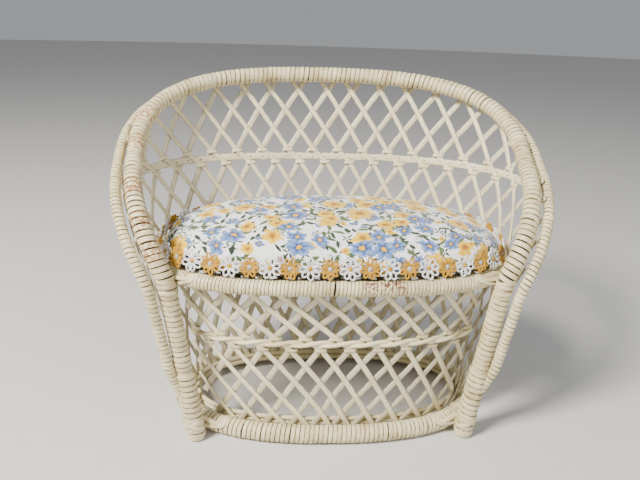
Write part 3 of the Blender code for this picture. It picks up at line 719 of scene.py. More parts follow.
def front_edge():
    """Plan angle where the wall's lattice can start, clear of the leg and the rod in front of it."""
    poles = [(course(half_hoop())["points"], HOOP_RADIUS),
             (course(half_rod(LEG_BINDING_HEIGHT))["points"], ROD_RADIUS)]
    step, clearance = 0.004, 0.0016
    angle = leg_head_angle()
    while True:
        spots = np.array([tuple(wall(angle, step * k)) for k in range(1, int(LEG_TOP / step) + 1)])
        nearest = [np.min(np.linalg.norm(line[None] - spots[:, None], axis=2)) - radius
                   for line, radius in poles]
        if min(nearest) > HALF_LATTICE + clearance:
            return angle
        angle += radians(0.5)


LAYER = 0.00062                   # from the middle of the lattice to the middle of either layer
SPLINT_THICKNESS = 0.00075
wall_start = front_edge()
wall_angles, wall_reach = arc_table(lambda a: wall_outline(a, SEAT_HEIGHT), pi, radians(40))
wall_half = float(np.interp(-wall_start, -wall_angles, wall_reach))
hoop_course = np.array([arm_course(k / 200) for k in range(201)])
WALL_LEVELS = np.concatenate([np.linspace(0.0047, BACK_BAND_LEVEL - 0.0046, 11),
                              BACK_BAND_LEVEL + 0.0046 + 0.0150 * np.arange(6)])
skirt_middle = (BASE_RADIUS + SEAT_HEIGHT) / 2
skirt_angles, skirt_reach = arc_table(lambda a: skirt_outline(a, skirt_middle), 0.0, radians(80))
skirt_half = float(np.interp(wall_start - radians(6), skirt_angles, skirt_reach))
SKIRT_LEVELS = np.concatenate([np.linspace(0.0047, SKIRT_BAND_LEVEL - 0.0042, 6),
                               SKIRT_BAND_LEVEL + 0.0042 + 0.0093 * np.arange(5)])


def wall_angle(s):
    return float(np.interp(abs(s), wall_reach, wall_angles))


def skirt_angle(s):
    return float(np.interp(abs(s), skirt_reach, skirt_angles))


def hoop_level(s):
    return float(np.interp(wall_angle(s), hoop_course[:, 0], hoop_course[:, 1]))


def on_surface(surface, angle_at, s, z, offset=0.0):
    """Point and outward normal on the wall or skirt, s along it and z up."""
    angle, step = angle_at(s), 2e-3
    p = surface(angle, z)
    rise = surface(angle, z + step) - surface(angle, z - step)
    turn = surface(angle + step, z) - surface(angle - step, z)
    normal = turn.cross(rise).normalized()
    if normal.dot(surface(angle, z, 0.001) - p) < 0:
        normal = -normal
    p = p + normal * offset
    if s < 0:
        p.x, normal.x = -p.x, -normal.x
    return p, normal


def splints(skin, surface, angle_at, half, levels, top, rising, offset, width):
    """One layer of slanting splints, each laid through the crossings."""
    rows = np.arange(0, len(levels) - 1 + 1e-6, 0.25)
    heights = np.interp(rows, np.arange(len(levels)), levels)
    reach = int(2 * half / DIAMOND_WIDTH) + len(levels) + 2
    for column in range(-reach - reach % 2, reach + 1, 2):
        shift, bow, tone = rng.normal(0, 0.00045), rng.normal(0, 0.0004), rng.random()
        points, normals = [], []
        for row, z in zip(rows, heights):
            s = (column + (row if rising else -row)) * DIAMOND_WIDTH / 2 + shift + bow * sin(row * 0.5)
            if abs(s) <= half and z <= top(s):
                p, normal = on_surface(surface, angle_at, s, z, offset)
                points.append(p)
                normals.append(normal)
        if len(points) >= 4:
            strip(skin, points, normals, width, SPLINT_THICKNESS, tone)


def band_points(surface, angle_at, half, level, offset, count):
    places = np.linspace(-half, half, count)
    pairs = [on_surface(surface, angle_at, s, level(s) if callable(level) else level,
                        offset(s) if callable(offset) else offset) for s in places]
    return [p for p, _ in pairs], [n for _, n in pairs]


def cap(skin, surface, angle_at, s, z, over, width, reach):
    """Short strand of peel that holds a crossing down."""
    points, normals = [], []
    for share in np.linspace(-1, 1, 9):
        lift = over * (0.25 + 0.75 * sqrt(max(0.0, 1 - share ** 4)))
        p, normal = on_surface(surface, angle_at, s + share * reach, z, lift)
        points.append(p)
        normals.append(normal)
    strip(skin, points, normals, width, 0.0006, rng.random())


NARROW_SPLINT, WIDE_SPLINT = 0.0036, 0.0043    # nearer the front of the settee, and behind
wall_nodes = ["wall_lattice_left_side", "wall_lattice_left_back", "wall_lattice_middle_back",
              "wall_lattice_right_back", "wall_lattice_right_side"]
skirt_nodes = ["skirt_lattice_left", "skirt_lattice_middle", "skirt_lattice_right"]
wall_sheet = (wall, wall_angle, wall_half, WALL_LEVELS, lambda s: hoop_level(s) + 0.002)
skirt_sheet = (skirt, skirt_angle, skirt_half, SKIRT_LEVELS, lambda s: SKIRT_TOP)
# The layer seen behind the other, the wall's outer and the skirt's inner, takes the darker paint as painted
# shade.
for name, sheet, rising, offset, width, paint, stands_for in (
        ("back_splints_inner", wall_sheet, False, -LAYER, NARROW_SPLINT, splint_paint, wall_nodes),
        ("back_splints_outer", wall_sheet, True, LAYER, WIDE_SPLINT, behind_layer_shaded_paint, ()),
        ("skirt_splints_outer", skirt_sheet, False, LAYER, NARROW_SPLINT, splint_paint, skirt_nodes),
        ("skirt_splints_inner", skirt_sheet, True, -LAYER, WIDE_SPLINT, behind_layer_shaded_paint, ())):
    skin = Skin()
    splints(skin, *sheet, rising, offset, width)
    skin.piece(name, paint, stands_for=stands_for, slot="painted_cane")

CAP_REACH = 0.0040                # from a band's end to the last strand over a crossing
PINNED = 0.7                      # share of the crossings that show a pin
PIN_PROFILE = ((0.0, 0.0005), (0.0002, 0.00045), (0.00035, 0.0002))    # height and radius of a pin's head

# Middle of the back: a flat strip between the layers, strands over the crossings beside it, and pins.
band_box_low, band_box_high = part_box("back_band")
band_half = next(s for s in np.arange(wall_half, 0, -0.001)
                 if on_surface(wall, wall_angle, s, BACK_BAND_LEVEL)[0].x < band_box_high.x + 0.002
                 and hoop_level(s) > BACK_BAND_LEVEL + HOOP_RADIUS)
skin, pins = Skin(), Skin()
points, normals = band_points(wall, wall_angle, band_half, BACK_BAND_LEVEL, 0.0, 120)
strip(skin, points, normals, 0.0052, 0.0005, 0.5)
for column in range(-60, 61):
    s = column * DIAMOND_WIDTH / 2
    row = 10 if column % 2 == 0 else 11
    if abs(s) < band_half - CAP_REACH:
        cap(skin, wall, wall_angle, s, WALL_LEVELS[row], -(LAYER + 0.0007), 0.0026, 0.0034)
        if rng.random() < PINNED:
            p, normal = on_surface(wall, wall_angle, s, BACK_BAND_LEVEL + rng.normal(0, 0.0006), -0.0004)
            side = normal.cross(Vector((0, 0, 1))).normalized()
            rise = side.cross(normal)
            rings = [[tuple(p - normal * h + (side * cos(t) + rise * sin(t)) * r)
                      for t in np.arange(8) * pi / 4] for h, r in PIN_PROFILE]
            pins.loft(np.array(rings))
skin.piece("back_band_woven", splint_paint, stands_for=["back_band"], slot="painted_cane")
pins.piece("back_pins", pin_rust)

# Middle of the skirt: two strands twined through the crossings.
skin = Skin()
for phase in (0.0, pi):
    def weave(s, phase=phase):
        return 0.0015 * cos(pi * s / DIAMOND_WIDTH + phase)

    def level(s, phase=phase):
        return SKIRT_BAND_LEVEL + 0.0012 * sin(pi * s / DIAMOND_WIDTH + phase)

    points, _ = band_points(skirt, skirt_angle, skirt_half - 0.002, level, weave, 160)
    tube(skin, points, 0.00135, sides=8, step=0.0018, tone=0.4, edge=0.2, across=0.0, run=0.0)
for column in range(-40, 41):
    s = column * DIAMOND_WIDTH / 2
    row = 5 if column % 2 == 1 else 6
    if abs(s) < skirt_half - CAP_REACH:
        cap(skin, skirt, skirt_angle, s, SKIRT_LEVELS[row], LAYER + 0.0008, 0.0022, 0.0036)
skin.piece("skirt_band_woven", reed_paint, stands_for=["skirt_band"], slot="painted_cane")


# ---- reeds, lashings and seat deck --------------------------------------------------------------------
def inside_lattice(angle, level):
    offset = -(HALF_LATTICE + REED_RADIUS + GAP)
    return skirt(angle, level, offset) if cos(angle) > 0 else wall(angle, level, offset)


def under_seat(angle, level):
    return raised(seat_ring(angle, -(SEAT_RADIUS + 2 * HALF_LATTICE + REED_RADIUS + 3 * GAP)), level)


SMOOTH_REED = {"tone": 0.5, "edge": 0.3, "across": 0.0, "run": 0.0}
for name, place_at, level in (("base_reed_lower", inside_lattice, BASE_RADIUS + REED_RADIUS),
                              ("base_reed_upper", inside_lattice, BASE_RADIUS + 3 * REED_RADIUS + GAP),
                              ("seat_reed", under_seat, SKIRT_TOP - REED_RADIUS - GAP)):
    skin = Skin()
    tube(skin, [place_at(2 * pi * k / 360, level) for k in range(360)], REED_RADIUS, closed=True,
         **SMOOTH_REED)
    skin.piece(name + "_round", reed_paint, stands_for=[name], slot="painted_cane")

skin = Skin()
lip = [wall(radians(78 + 204 * k / 90), SEAT_HEIGHT + SEAT_RADIUS + 0.001, -(HALF_LATTICE + 0.0014))
       for k in range(91)]
tube(skin, lip, 0.0013, **SMOOTH_REED)
skin.piece("seat_back_reed", reed_paint, slot="painted_cane")


def lashing(skin, ring, ring_radius, leg_radius, leg_level, spread, lean, side, width=0.0030):
    """Strand of peel from inside a ring, over it, round the front of a leg and back over the ring."""
    points, normals = [], []

    def over_ring(angle, turns):
        flank = ring(angle)
        out = (ring(angle, 1.0) - flank).normalized()
        for turn in turns:
            normals.append(-out * cos(turn * pi) + Vector((0, 0, 1)) * sin(turn * pi))
            points.append(flank + normals[-1] * (ring_radius + PEEL / 2))

    over_ring(LEG_ANGLE - spread, (0.15, 0.5, 0.85))
    toward = (ring(LEG_ANGLE).xy - leg_point(leg_level).xy).normalized()
    for share in np.linspace(0, 1, 11):
        heading = toward.copy()
        heading.rotate(Matrix.Rotation(radians(-70 - 220 * share), 2))
        heading = Vector((heading.x, heading.y, 0))
        level = leg_level + lean * (0.5 - share)
        points.append(leg_point(level) + heading * (leg_radius + PEEL / 2))
        normals.append(heading)
    over_ring(LEG_ANGLE + spread, (0.85, 0.5, 0.15))
    line = np.array([tuple(p) for p in points])
    faces = np.array([tuple(n) for n in normals])
    stations = np.concatenate([[0], np.cumsum(np.linalg.norm(np.diff(line, axis=0), axis=1))])
    marks = np.linspace(0, stations[-1], 60)
    line, faces = (np.stack([np.interp(marks, stations, rows[:, k]) for k in range(3)], axis=1)
                   for rows in (line, faces))
    for _ in range(3):
        line[1:-1] = (line[:-2] + 2 * line[1:-1] + line[2:]) / 4
    line[:, 0] *= side
    faces[:, 0] *= side
    strip(skin, line, faces, width, 0.0008, rng.random())


for side, name in ((-1, "left"), (1, "right")):
    skin = Skin()
    for rise, spread, lean in ((0.0018, 0.15, 0.002), (-0.0018, 0.19, -0.003), (-0.0055, 0.17, 0.001)):
        lashing(skin, seat_ring, SEAT_RADIUS, HOOP_RADIUS, SEAT_HEIGHT + rise, spread, lean, side)
    skin.piece("seat_lashing_" + name, pole_paint, stands_for=["seat_strap_" + name], slot="painted_cane")
    skin = Skin()
    for level, spread, lean in ((0.0140, 0.16, 0.009), (0.0125, 0.19, -0.009)):
        lashing(skin, base_ring, BASE_RADIUS, LEG_BINDING_RADIUS, level, spread, lean, side, 0.0034)
    skin.piece("base_lashing_" + name, pole_paint, stands_for=["base_strap_" + name], slot="painted_cane")

DECK_PITCH = 0.0088
DECK_SPLINT = 0.0042
DECK_WAVE = 0.0004                # how far a splint rises and falls over its neighbours
RIM_MARGIN = 0.004                # nearest splint to the front, back and ends of the deck
rim = np.array([tuple(seat_ring(2 * pi * k / 720, -(SEAT_RADIUS + 0.0006)))[:2] for k in range(720)])


def half_rim(keep, by):
    """The part of the deck's rim that keep picks, in order along one direction."""
    part = rim[keep]
    return part[np.argsort(part[:, by])]


def deck_splint(skin, k, low, high, across, wave):
    """One splint of the deck from low to high; across is the direction that it keeps its place in."""
    run = np.arange(low, high, 0.0022)
    spots = np.empty((len(run), 3))
    spots[:, across] = k * DECK_PITCH
    spots[:, 1 - across] = run
    spots[:, 2] = DECK_LEVEL + wave * np.cos(pi * (run / DECK_PITCH + k))
    strip(skin, spots, np.tile((0, 0, 1.0), (len(run), 1)), DECK_SPLINT, 0.0006, rng.random())


skin = Skin()
rim_right = half_rim(rim[:, 0] >= 0, 1)
rim_front, rim_back = half_rim(rim[:, 1] < 0, 0), half_rim(rim[:, 1] >= 0, 0)
for k in range(-8, 9):
    y = k * DECK_PITCH
    if rim[:, 1].min() + RIM_MARGIN < y < rim[:, 1].max() - RIM_MARGIN:
        half = np.interp(y, rim_right[:, 1], rim_right[:, 0])
        deck_splint(skin, k, -half, half, 1, DECK_WAVE)
for k in range(-13, 14):
    x = k * DECK_PITCH
    if abs(x) < rim[:, 0].max() - RIM_MARGIN:
        low = np.interp(x, rim_front[:, 0], rim_front[:, 1])
        high = np.interp(x, rim_back[:, 0], rim_back[:, 1])
        deck_splint(skin, k, low, high, 0, -DECK_WAVE)
skin.piece("seat_deck_woven", deck_paint, stands_for=["seat_deck"], slot="painted_cane")


# ---- cushion ------------------------------------------------------------------------------------------
CUSHION_WAIST = 0.34              # height of its widest part, as a share of its height
CREST_BACK = 0.010                # how far behind its middle the cushion is highest
CUSHION_TUCK = 0.0060             # how far its foot draws in under the widest part
FOLD_LEVEL, FOLD_SPREAD = 0.42, 0.16    # where the cover puckers, as shares of the cushion's height
FOLD_DEPTH, LUMP_HEIGHT = 0.00022, 0.00045
BACKING_TOP = 0.0060              # of the cover below the print, from the foot
FLOWER_COUNT = 50                 # round the braid, gold and white in turn
FLOWER_LEVEL = CUSHION_FOOT + 0.0109


def plan_direction(x, y):
    """Outline parameter that lies in the direction of a point of the unit disc."""
    front = y < 0
    power = (SEAT_FRONT_SQUARENESS if front else WALL_SQUARENESS) / 2
    angle = atan2(abs(x) ** power, abs(y) ** power)
    angle = angle if front else pi - angle
    return angle if x >= 0 else -angle


def cushion_shape(shrink):
    """Domed pad on the seat's outline, full at the sides and flat underneath."""
    work = bmesh.new()
    bmesh.ops.create_uvsphere(work, u_segments=96, v_segments=40, radius=1)
    waist = CUSHION_FOOT + CUSHION_WAIST * CUSHION_HEIGHT
    crown = CUSHION_FOOT + CUSHION_HEIGHT - 0.001
    for vert in work.verts:
        x, y, z = vert.co
        size = min(1.0, sqrt(x * x + y * y))
        rim = seat_ring(plan_direction(x, y), CUSHION_REACH - shrink) if size > 1e-4 else Vector((0, 0, 0))
        if z > 0:
            level = waist + (crown - waist) * z ** 0.92
            level += CREST_BACK * 0.12 * y * z
        else:
            low = min(1.0, -z / 0.40)
            level = waist - (waist - CUSHION_FOOT) * low
            tuck = CUSHION_TUCK * low * low * (3 - 2 * low) / max(rim.length, 1e-6)
            size *= 1 - min(1.0, tuck)
        vert.co = (rim.x * size, rim.y * size, level)
    data = bpy.data.meshes.new("cushion_start")
    work.to_mesh(data)
    work.free()
    return data


def coordinates(data):
    flat = np.zeros(len(data.vertices) * 3)
    data.vertices.foreach_get("co", flat)
    return flat.reshape(-1, 3)


def evaluated(item):
    graph = bpy.context.evaluated_depsgraph_get()
    return bpy.data.meshes.new_from_object(item.evaluated_get(graph), depsgraph=graph)


def blown_up(data, most):
    """The pad's mesh after cloth under pressure, with no point moved further than most."""
    scene = bpy.context.scene
    item = bpy.data.objects.new("cushion_blank", data)
    scene.collection.objects.link(item)
    remesh = item.modifiers.new("even", 'REMESH')
    remesh.mode = 'VOXEL'
    remesh.voxel_size = 0.0036
    item.data = evaluated(item)
    item.modifiers.clear()
    rest = coordinates(item.data)
    held = item.vertex_groups.new(name="held")
    held.add([int(k) for k in np.flatnonzero(rest[:, 2] < CUSHION_FOOT + 0.0045)], 1.0, 'REPLACE')
    cloth = item.modifiers.new("cloth", 'CLOTH')
    cloth.settings.quality = 8
    cloth.settings.mass = 0.2
    cloth.settings.tension_stiffness = 12
    cloth.settings.compression_stiffness = 12
    cloth.settings.bending_stiffness = 0.3
    cloth.settings.use_pressure = True
    cloth.settings.uniform_pressure_force = 4
    cloth.settings.effector_weights.gravity = 0
    cloth.settings.vertex_group_mass = "held"
    for step in range(1, 21):
        scene.frame_set(step)
    blown = coordinates(evaluated(item))
    scene.frame_set(1)
    item.modifiers.clear()
    move = blown - rest
    size = np.linalg.norm(move, axis=1)
    move *= (np.minimum(size, most) / np.maximum(size, 1e-9))[:, None]
    rest = rest + move
    result = item.data
    result.vertices.foreach_set("co", rest.reshape(-1))
    bpy.data.objects.remove(item)
    return result


cover_data = blown_up(cushion_shape(0.0020), 0.0022)
cover = bpy.data.objects.new("cushion_cover_soft", cover_data)
bpy.context.scene.collection.objects.link(cover)
cover.modifiers.new("finer", 'SUBSURF').levels = 1
cover.data = evaluated(cover)
cover.modifiers.clear()
spots = coordinates(cover.data)
heading = np.arctan2(spots[:, 1], spots[:, 0])
upness = np.clip((spots[:, 2] - CUSHION_FOOT) / CUSHION_HEIGHT, 0, 1)
reach = np.linalg.norm(spots[:, :2], axis=1)
pucker = np.exp(-((upness - FOLD_LEVEL) / FOLD_SPREAD) ** 2)
folds = np.zeros(len(spots))
for waves, size in ((FLOWER_COUNT, 0.9), (37, 0.5), (71, 0.5), (23, 0.6)):
    folds += size * np.sin(heading * waves + rng.random() * 6.28)
outwards = spots[:, :2] / np.maximum(reach, 1e-6)[:, None]
spots[:, :2] += outwards * (pucker * folds * FOLD_DEPTH)[:, None]
lumps = (np.sin(spots[:, 0] * 61 + 1.0) * np.sin(spots[:, 1] * 83 + 0.4)
         + 0.6 * np.sin(spots[:, 0] * 118 + spots[:, 1] * 71 + 2.0))
spots[:, 2] += LUMP_HEIGHT * lumps * np.clip((upness - 0.45) * 3, 0, 1)
spots[:, 2] = np.maximum(spots[:, 2], CUSHION_FOOT + 0.0001)
# The print is laid from the crown outwards, so that it runs on down the sides without streaks.
crest = spots[:, 2].max()
spread = 1 + (crest - spots[:, 2]) * 0.75 / np.maximum(reach, 0.02)
printed = np.stack([spots[:, 0] * spread, spots[:, 1] * spread, np.zeros(len(spots))], axis=1)
spots[:, 1] += SHIFT
cover.data.vertices.foreach_set("co", spots.reshape(-1))
attribute = cover.data.attributes.new("print", 'FLOAT_VECTOR', 'POINT')
attribute.data.foreach_set("vector", printed.astype(np.float32).reshape(-1))
cover.data.shade_smooth()


WHITE_COTTON, BLUE_WASH = (0.90, 0.90, 0.865), (0.62, 0.68, 0.74)
BLUE, PALE_BLUE, DEEP_BLUE = (0.055, 0.115, 0.31), (0.25, 0.36, 0.60), (0.018, 0.035, 0.13)
YELLOW, PALE_YELLOW, OCHRE = (0.80, 0.43, 0.010), (0.90, 0.62, 0.06), (0.36, 0.15, 0.008)
LEAF, PALE_LEAF, DARK_LEAF = (0.055, 0.095, 0.035), (0.19, 0.24, 0.10), (0.014, 0.026, 0.018)


def scattered(paint, place, spacing, offset, shake):
    """One spot in each cell: polar coordinates about it, and three random numbers."""
    node = paint.tree.nodes.new('ShaderNodeTexVoronoi')
    node.voronoi_dimensions = '2D'
    node.inputs["Scale"].default_value = 1 / spacing
    node.inputs["Randomness"].default_value = shake
    moved = paint.blend_vectors('ADD', place, (offset, offset * 0.6, 0))
    paint.tree.links.new(moved, node.inputs["Vector"])
    local = paint.blend_vectors('SUBTRACT', moved, node.outputs["Position"])
    x, y, _ = paint.parts(local)
    chance = paint.parts(node.outputs["Color"])
    angle = y.math('ARCTAN2', x) + chance[0] * 6.283
    return (x * x + y * y).math('SQRT'), angle, chance


def blossoms(paint, base, place, spacing, size, offset, petals, seen, shake=0.75):
    """Prints small open flowers, some blue and some yellow, with a ringed eye."""
    r, angle, chance = scattered(paint, place, spacing, offset, shake)
    wobble = paint.noise(420.0, 2.0, place)
    scalloped = (angle * (petals / 2)).math('SINE').math('ABSOLUTE') * 0.30 + 0.72
    rim = scalloped * (chance[1] * 0.45 + 0.72) * size * (wobble * 1.1 + 0.45)
    body = (rim - r).ramp(0.0, size * 0.10) * chance[2].ramp(1 - seen - 0.01, 1 - seen)
    streak = (angle * petals).math('SINE') * 0.5 + 0.5
    outer = (r / rim).ramp(0.35, 1.0)
    hue = chance[0].ramp(0.49, 0.51)
    blue = paint.mix(BLUE, PALE_BLUE, outer * 0.55 + streak * 0.45)
    blue = paint.mix(blue, DEEP_BLUE, (r / rim).ramp(0.42, 0.30) * 0.8)
    yellow = paint.mix(YELLOW, PALE_YELLOW, outer * 0.5 + streak * 0.4)
    yellow = paint.mix(yellow, OCHRE, (r / rim).ramp(0.46, 0.30) * 0.75)
    flower = paint.mix(blue, yellow, hue)
    eye = (r / rim).ramp(0.26, 0.20)
    flower = paint.mix(flower, paint.mix(YELLOW, OCHRE, hue), eye)
    return paint.mix(base, flower, body)


def leaves(paint, base, place, spacing, length, width, offset, blades, dark, light, seen):
    """Prints sprigs of pointed leaves, spread about a point."""
    r, angle, chance = scattered(paint, place, spacing, offset, 0.9)
    sector = 2 * pi / blades
    folded = angle.math('PINGPONG', sector) - sector / 2
    ahead, aside = r * folded.math('COSINE'), (r * folded.math('SINE')).math('ABSOLUTE')
    share = ahead / length
    blade = (share * (share * -1.0 + 1.0)) * (4 * width) - aside
    inside = (blade.ramp(0.0, width * 0.35) * share.ramp(0.02, 0.05)
              * chance[2].ramp(1 - seen - 0.01, 1 - seen))
    vein = aside.ramp(0.0, width * 0.5)
    return paint.mix(base, paint.mix(dark, light, vein * chance[1]), inside)


# Spacing, length, width, shift of the pattern, number of blades, two greens, share of places that have one.
LEAF_SPRIGS = ((0.0115, 0.0056, 0.0009, 0.031, 5, DARK_LEAF, LEAF, 0.65),
               (0.0165, 0.0105, 0.0021, 0.057, 3, LEAF, PALE_LEAF, 0.85),
               (0.0150, 0.0095, 0.0017, 0.083, 2, DARK_LEAF, LEAF, 0.80))
# Spacing, radius, shift of the pattern, petals, share of places that have one.
BLOSSOM_KINDS = ((0.0110, 0.0031, 0.047, 4, 0.45),
                 (0.0185, 0.0068, 0.071, 5, 0.75),
                 (0.0215, 0.0088, 0.013, 6, 0.75))


def printed_cotton():
    """White cotton with a small all-over print of blue and yellow flowers, leaves and fine sprigs."""
    paint = Paint("printed_cotton", 0.85, sheen=0.25, specular=0.25)
    flat = paint.vector("print")
    sway = paint.joined(paint.noise(70.0, 1.0, flat) - 0.5, paint.noise(83.0, 1.0, flat) - 0.5)
    swayed = paint.blend_vectors('ADD', flat, paint.blend_vectors('MULTIPLY', sway, (0.006, 0.006, 0)))
    washed = paint.noise(95.0, 2.0, flat).ramp(0.52, 0.66)
    colour = paint.mix(WHITE_COTTON, BLUE_WASH, washed * 0.45)
    stems = paint.noise(150.0, 1.0, swayed)
    line = (stems - 0.5).math('ABSOLUTE').ramp(0.010, 0.004) * paint.noise(60.0, 1.0, flat).ramp(0.46, 0.52)
    colour = paint.mix(colour, LEAF, line * 0.85)
    for spacing, length, width, offset, blades, dark, light, seen in LEAF_SPRIGS:
        colour = leaves(paint, colour, swayed, spacing, length, width, offset, blades, dark, light, seen)
    for spacing, size, offset, petals, seen in BLOSSOM_KINDS:
        colour = blossoms(paint, colour, swayed, spacing, size, offset, petals, seen)
    paint.colour(colour)
    x, y, _ = paint.parts(flat)
    threads = (x * 9000.0).math('SINE') + (y * 9000.0).math('SINE')
    paint.bump(threads * 0.25 + paint.noise(300.0, 3.0), 0.25, 0.0002)
    return paint.material


def plain_cloth(name, colour, roughness=0.85, threads=7000.0):
    paint = Paint(name, roughness, sheen=0.2, specular=0.3)
    x, y, z = paint.parts(paint.place)
    weave = (x * threads).math('SINE') + (y * threads).math('SINE') + (z * threads).math('SINE')
    darker = tuple(c * 0.55 for c in colour)
    paint.colour(paint.mix(colour, darker, paint.noise(500.0, 3.0).ramp(0.40, 0.75)))
    paint.bump(weave * 0.3 + paint.noise(1400.0, 2.0), 0.5, 0.0002)
    return paint.material


cotton = printed_cotton()
backing = plain_cloth("backing_cloth", (0.20, 0.225, 0.155))
gold_thread = plain_cloth("gold_thread", (0.56, 0.29, 0.010), 0.5)
white_thread = plain_cloth("white_thread", (0.86, 0.86, 0.86), 0.5)

cover.data.materials.append(cotton)
cover.data.materials.append(backing)
for face in cover.data.polygons:
    if face.center.z < CUSHION_FOOT + BACKING_TOP:
        face.material_index = 1
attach(cover, "cushion")
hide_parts("cushion_cover", "cushion_filling")


def braid_spot(angle, out=0.0, level=FLOWER_LEVEL):
    """Place and directions on the cushion's side: along the braid, up it, and out of it."""
    p = seat_ring(angle, CUSHION_REACH + 0.0006 + out)
    q = seat_ring(angle + 0.01, CUSHION_REACH + 0.0006 + out)
    run = (q - p).normalized()
    away = Vector((run.y, -run.x, 0))
    face = (away + Vector((0, 0, 0.30))).normalized()
    return Vector((p.x, p.y, level)), run, face.cross(run).normalized() * -1, face


def daisy(threads, eye, angle, turn, size, thread, petal_width):
    """Eight loops of thread of one size round a raised eye."""
    centre, run, rise, face = braid_spot(angle)
    if rise.z < 0:
        rise = -rise
    for petal in range(8):
        heading = turn + petal * pi / 4 + rng.normal(0, 0.06)
        along_petal = run * cos(heading) + rise * sin(heading)
        across_petal = run * -sin(heading) + rise * cos(heading)
        length = size * (1 + rng.normal(0, 0.05))
        line = []
        for k in range(14):
            t = 2 * pi * k / 14
            out = 0.0011 + (length - 0.0011) * (1 - cos(t)) / 2
            lift = 0.0006 + 0.0009 * sin((1 - cos(t)) / 2 * pi * 0.8)
            line.append(centre + along_petal * out + across_petal * petal_width * sin(t) + face * lift)
        loop(threads, line, thread)
    knots = np.arange(8) * pi / 4
    rings = [[tuple(centre + (run * cos(t) + rise * sin(t)) * r + face * h) for t in knots]
             for h, r in ((0.0004, 0.0016), (0.0012, 0.0016), (0.0018, 0.0011), (0.0021, 0.0004))]
    eye.loft(np.array(rings))


def loop(skin, line, radius, sides=5):
    """Closed ring of thread through a few points."""
    points = np.array([tuple(p) for p in line])
    tangents = np.roll(points, -1, axis=0) - np.roll(points, 1, axis=0)
    tangents /= np.linalg.norm(tangents, axis=1)[:, None]
    middle = points.mean(axis=0)
    inward = middle - points
    inward -= tangents * np.sum(inward * tangents, axis=1)[:, None]
    inward /= np.maximum(np.linalg.norm(inward, axis=1), 1e-9)[:, None]
    other = np.cross(tangents, inward)
    turns = np.arange(sides) * 2 * pi / sides
    ring = (np.cos(turns)[None, :, None] * inward[:, None, :]
            + np.sin(turns)[None, :, None] * other[:, None, :])
    skin.loft(points[:, None, :] + radius * ring, closed=True)


braid_angles, braid_reach = arc_table(lambda a: seat_ring(a, CUSHION_REACH), -pi, pi, 1440)
gold_loops, white_loops, gold_eyes, white_eyes = Skin(), Skin(), Skin(), Skin()
for k in range(FLOWER_COUNT):
    angle = float(np.interp((k + 0.5) * braid_reach[-1] / FLOWER_COUNT, braid_reach, braid_angles))
    turn = rng.random() * 0.5
    if k % 2 == 0:
        daisy(gold_loops, white_eyes, angle, turn, size=0.0062, thread=0.00058, petal_width=0.00125)
        daisy(gold_loops, white_eyes, angle, turn + pi / 8, size=0.0046, thread=0.00050, petal_width=0.0008)
    else:
        daisy(white_loops, gold_eyes, angle, turn, size=0.0064, thread=0.00060, petal_width=0.00165)
gold_loops.piece("braid_gold_petals", gold_thread, "cushion", ["cushion_trim"], "daisy_braid")
white_loops.piece("braid_white_petals", white_thread, "cushion", slot="daisy_braid")
gold_eyes.piece("braid_gold_eyes", gold_thread, "cushion", slot="daisy_braid")
white_eyes.piece("braid_white_eyes", white_thread, "cushion", slot="daisy_braid")
skin = Skin()
tube(skin, [braid_spot(2 * pi * k / 240)[0] for k in range(240)], 0.0006, closed=True, sides=6)
skin.piece("braid_cord", white_thread, "cushion", slot="daisy_braid")

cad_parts["cushion_board"].data.materials.clear()
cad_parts["cushion_board"].data.materials.append(plain_cane("board", (0.40, 0.30, 0.19), 0.8))


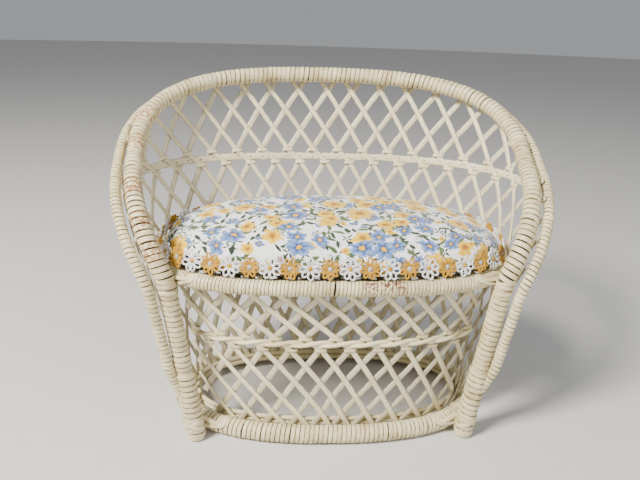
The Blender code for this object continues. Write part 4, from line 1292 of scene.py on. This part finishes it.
# ---- floor, light and camera --------------------------------------------------------------------------
floor_data = bpy.data.meshes.new("floor")
floor_turns = np.arange(64) * 2 * pi / 64
floor_data.from_pydata([(6 * cos(t), 6 * sin(t), 0) for t in floor_turns], [], [list(range(64))])
floor = bpy.data.objects.new("floor", floor_data)
bpy.context.scene.collection.objects.link(floor)
floor_paint = Paint("pale_floor", 0.75)
floor_paint.colour(floor_paint.mix((0.64, 0.63, 0.61), (0.61, 0.60, 0.58), floor_paint.noise(30.0, 3.0)))
floor_data.materials.append(floor_paint.material)
floor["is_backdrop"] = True

world = bpy.data.worlds.new("studio")
world.use_nodes = True
world.node_tree.nodes["Background"].inputs["Color"].default_value = (0.86, 0.88, 0.92, 1)
world.node_tree.nodes["Background"].inputs["Strength"].default_value = 0.40
bpy.context.scene.world = world


def soft_light(name, place, target, size, power, colour):
    data = bpy.data.lights.new(name, 'AREA')
    data.shape = 'DISK'
    data.size = size
    data.energy = power
    data.color = colour
    item = bpy.data.objects.new(name, data)
    bpy.context.scene.collection.objects.link(item)
    item.location = place
    item.rotation_euler = (Vector(target) - Vector(place)).to_track_quat('-Z', 'Y').to_euler()


soft_light("key", (-0.75, -0.65, 1.05), (0, 0, 0.12), 0.36, 46.0, (1.0, 0.965, 0.91))
soft_light("fill", (0.95, -0.70, 0.70), (0, 0, 0.12), 0.9, 6.0, (0.94, 0.96, 1.0))

CAMERA_PLACE = Vector((-0.0372, -0.4093 + SHIFT, 0.2666))
CAMERA_TURN, CAMERA_DIP, CAMERA_ROLL = radians(4.08), radians(19.39), radians(1.81)
camera_data = bpy.data.cameras.new("camera")
camera_data.sensor_width = 36.0
camera_data.lens = 35.61
camera_data.clip_start = 0.02
camera_data.clip_end = 30.0
camera = bpy.data.objects.new("camera", camera_data)
bpy.context.scene.collection.objects.link(camera)
ahead = Vector((sin(CAMERA_TURN) * cos(CAMERA_DIP), cos(CAMERA_TURN) * cos(CAMERA_DIP), -sin(CAMERA_DIP)))
level_right = ahead.cross(Vector((0, 0, 1))).normalized()
level_up = level_right.cross(ahead)
right = level_right * cos(CAMERA_ROLL) + level_up * sin(CAMERA_ROLL)
up = right.cross(ahead)
camera.matrix_world = Matrix.Translation(CAMERA_PLACE) @ Matrix((right, up, -ahead)).transposed().to_4x4()
bpy.context.scene.camera = camera

low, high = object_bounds()
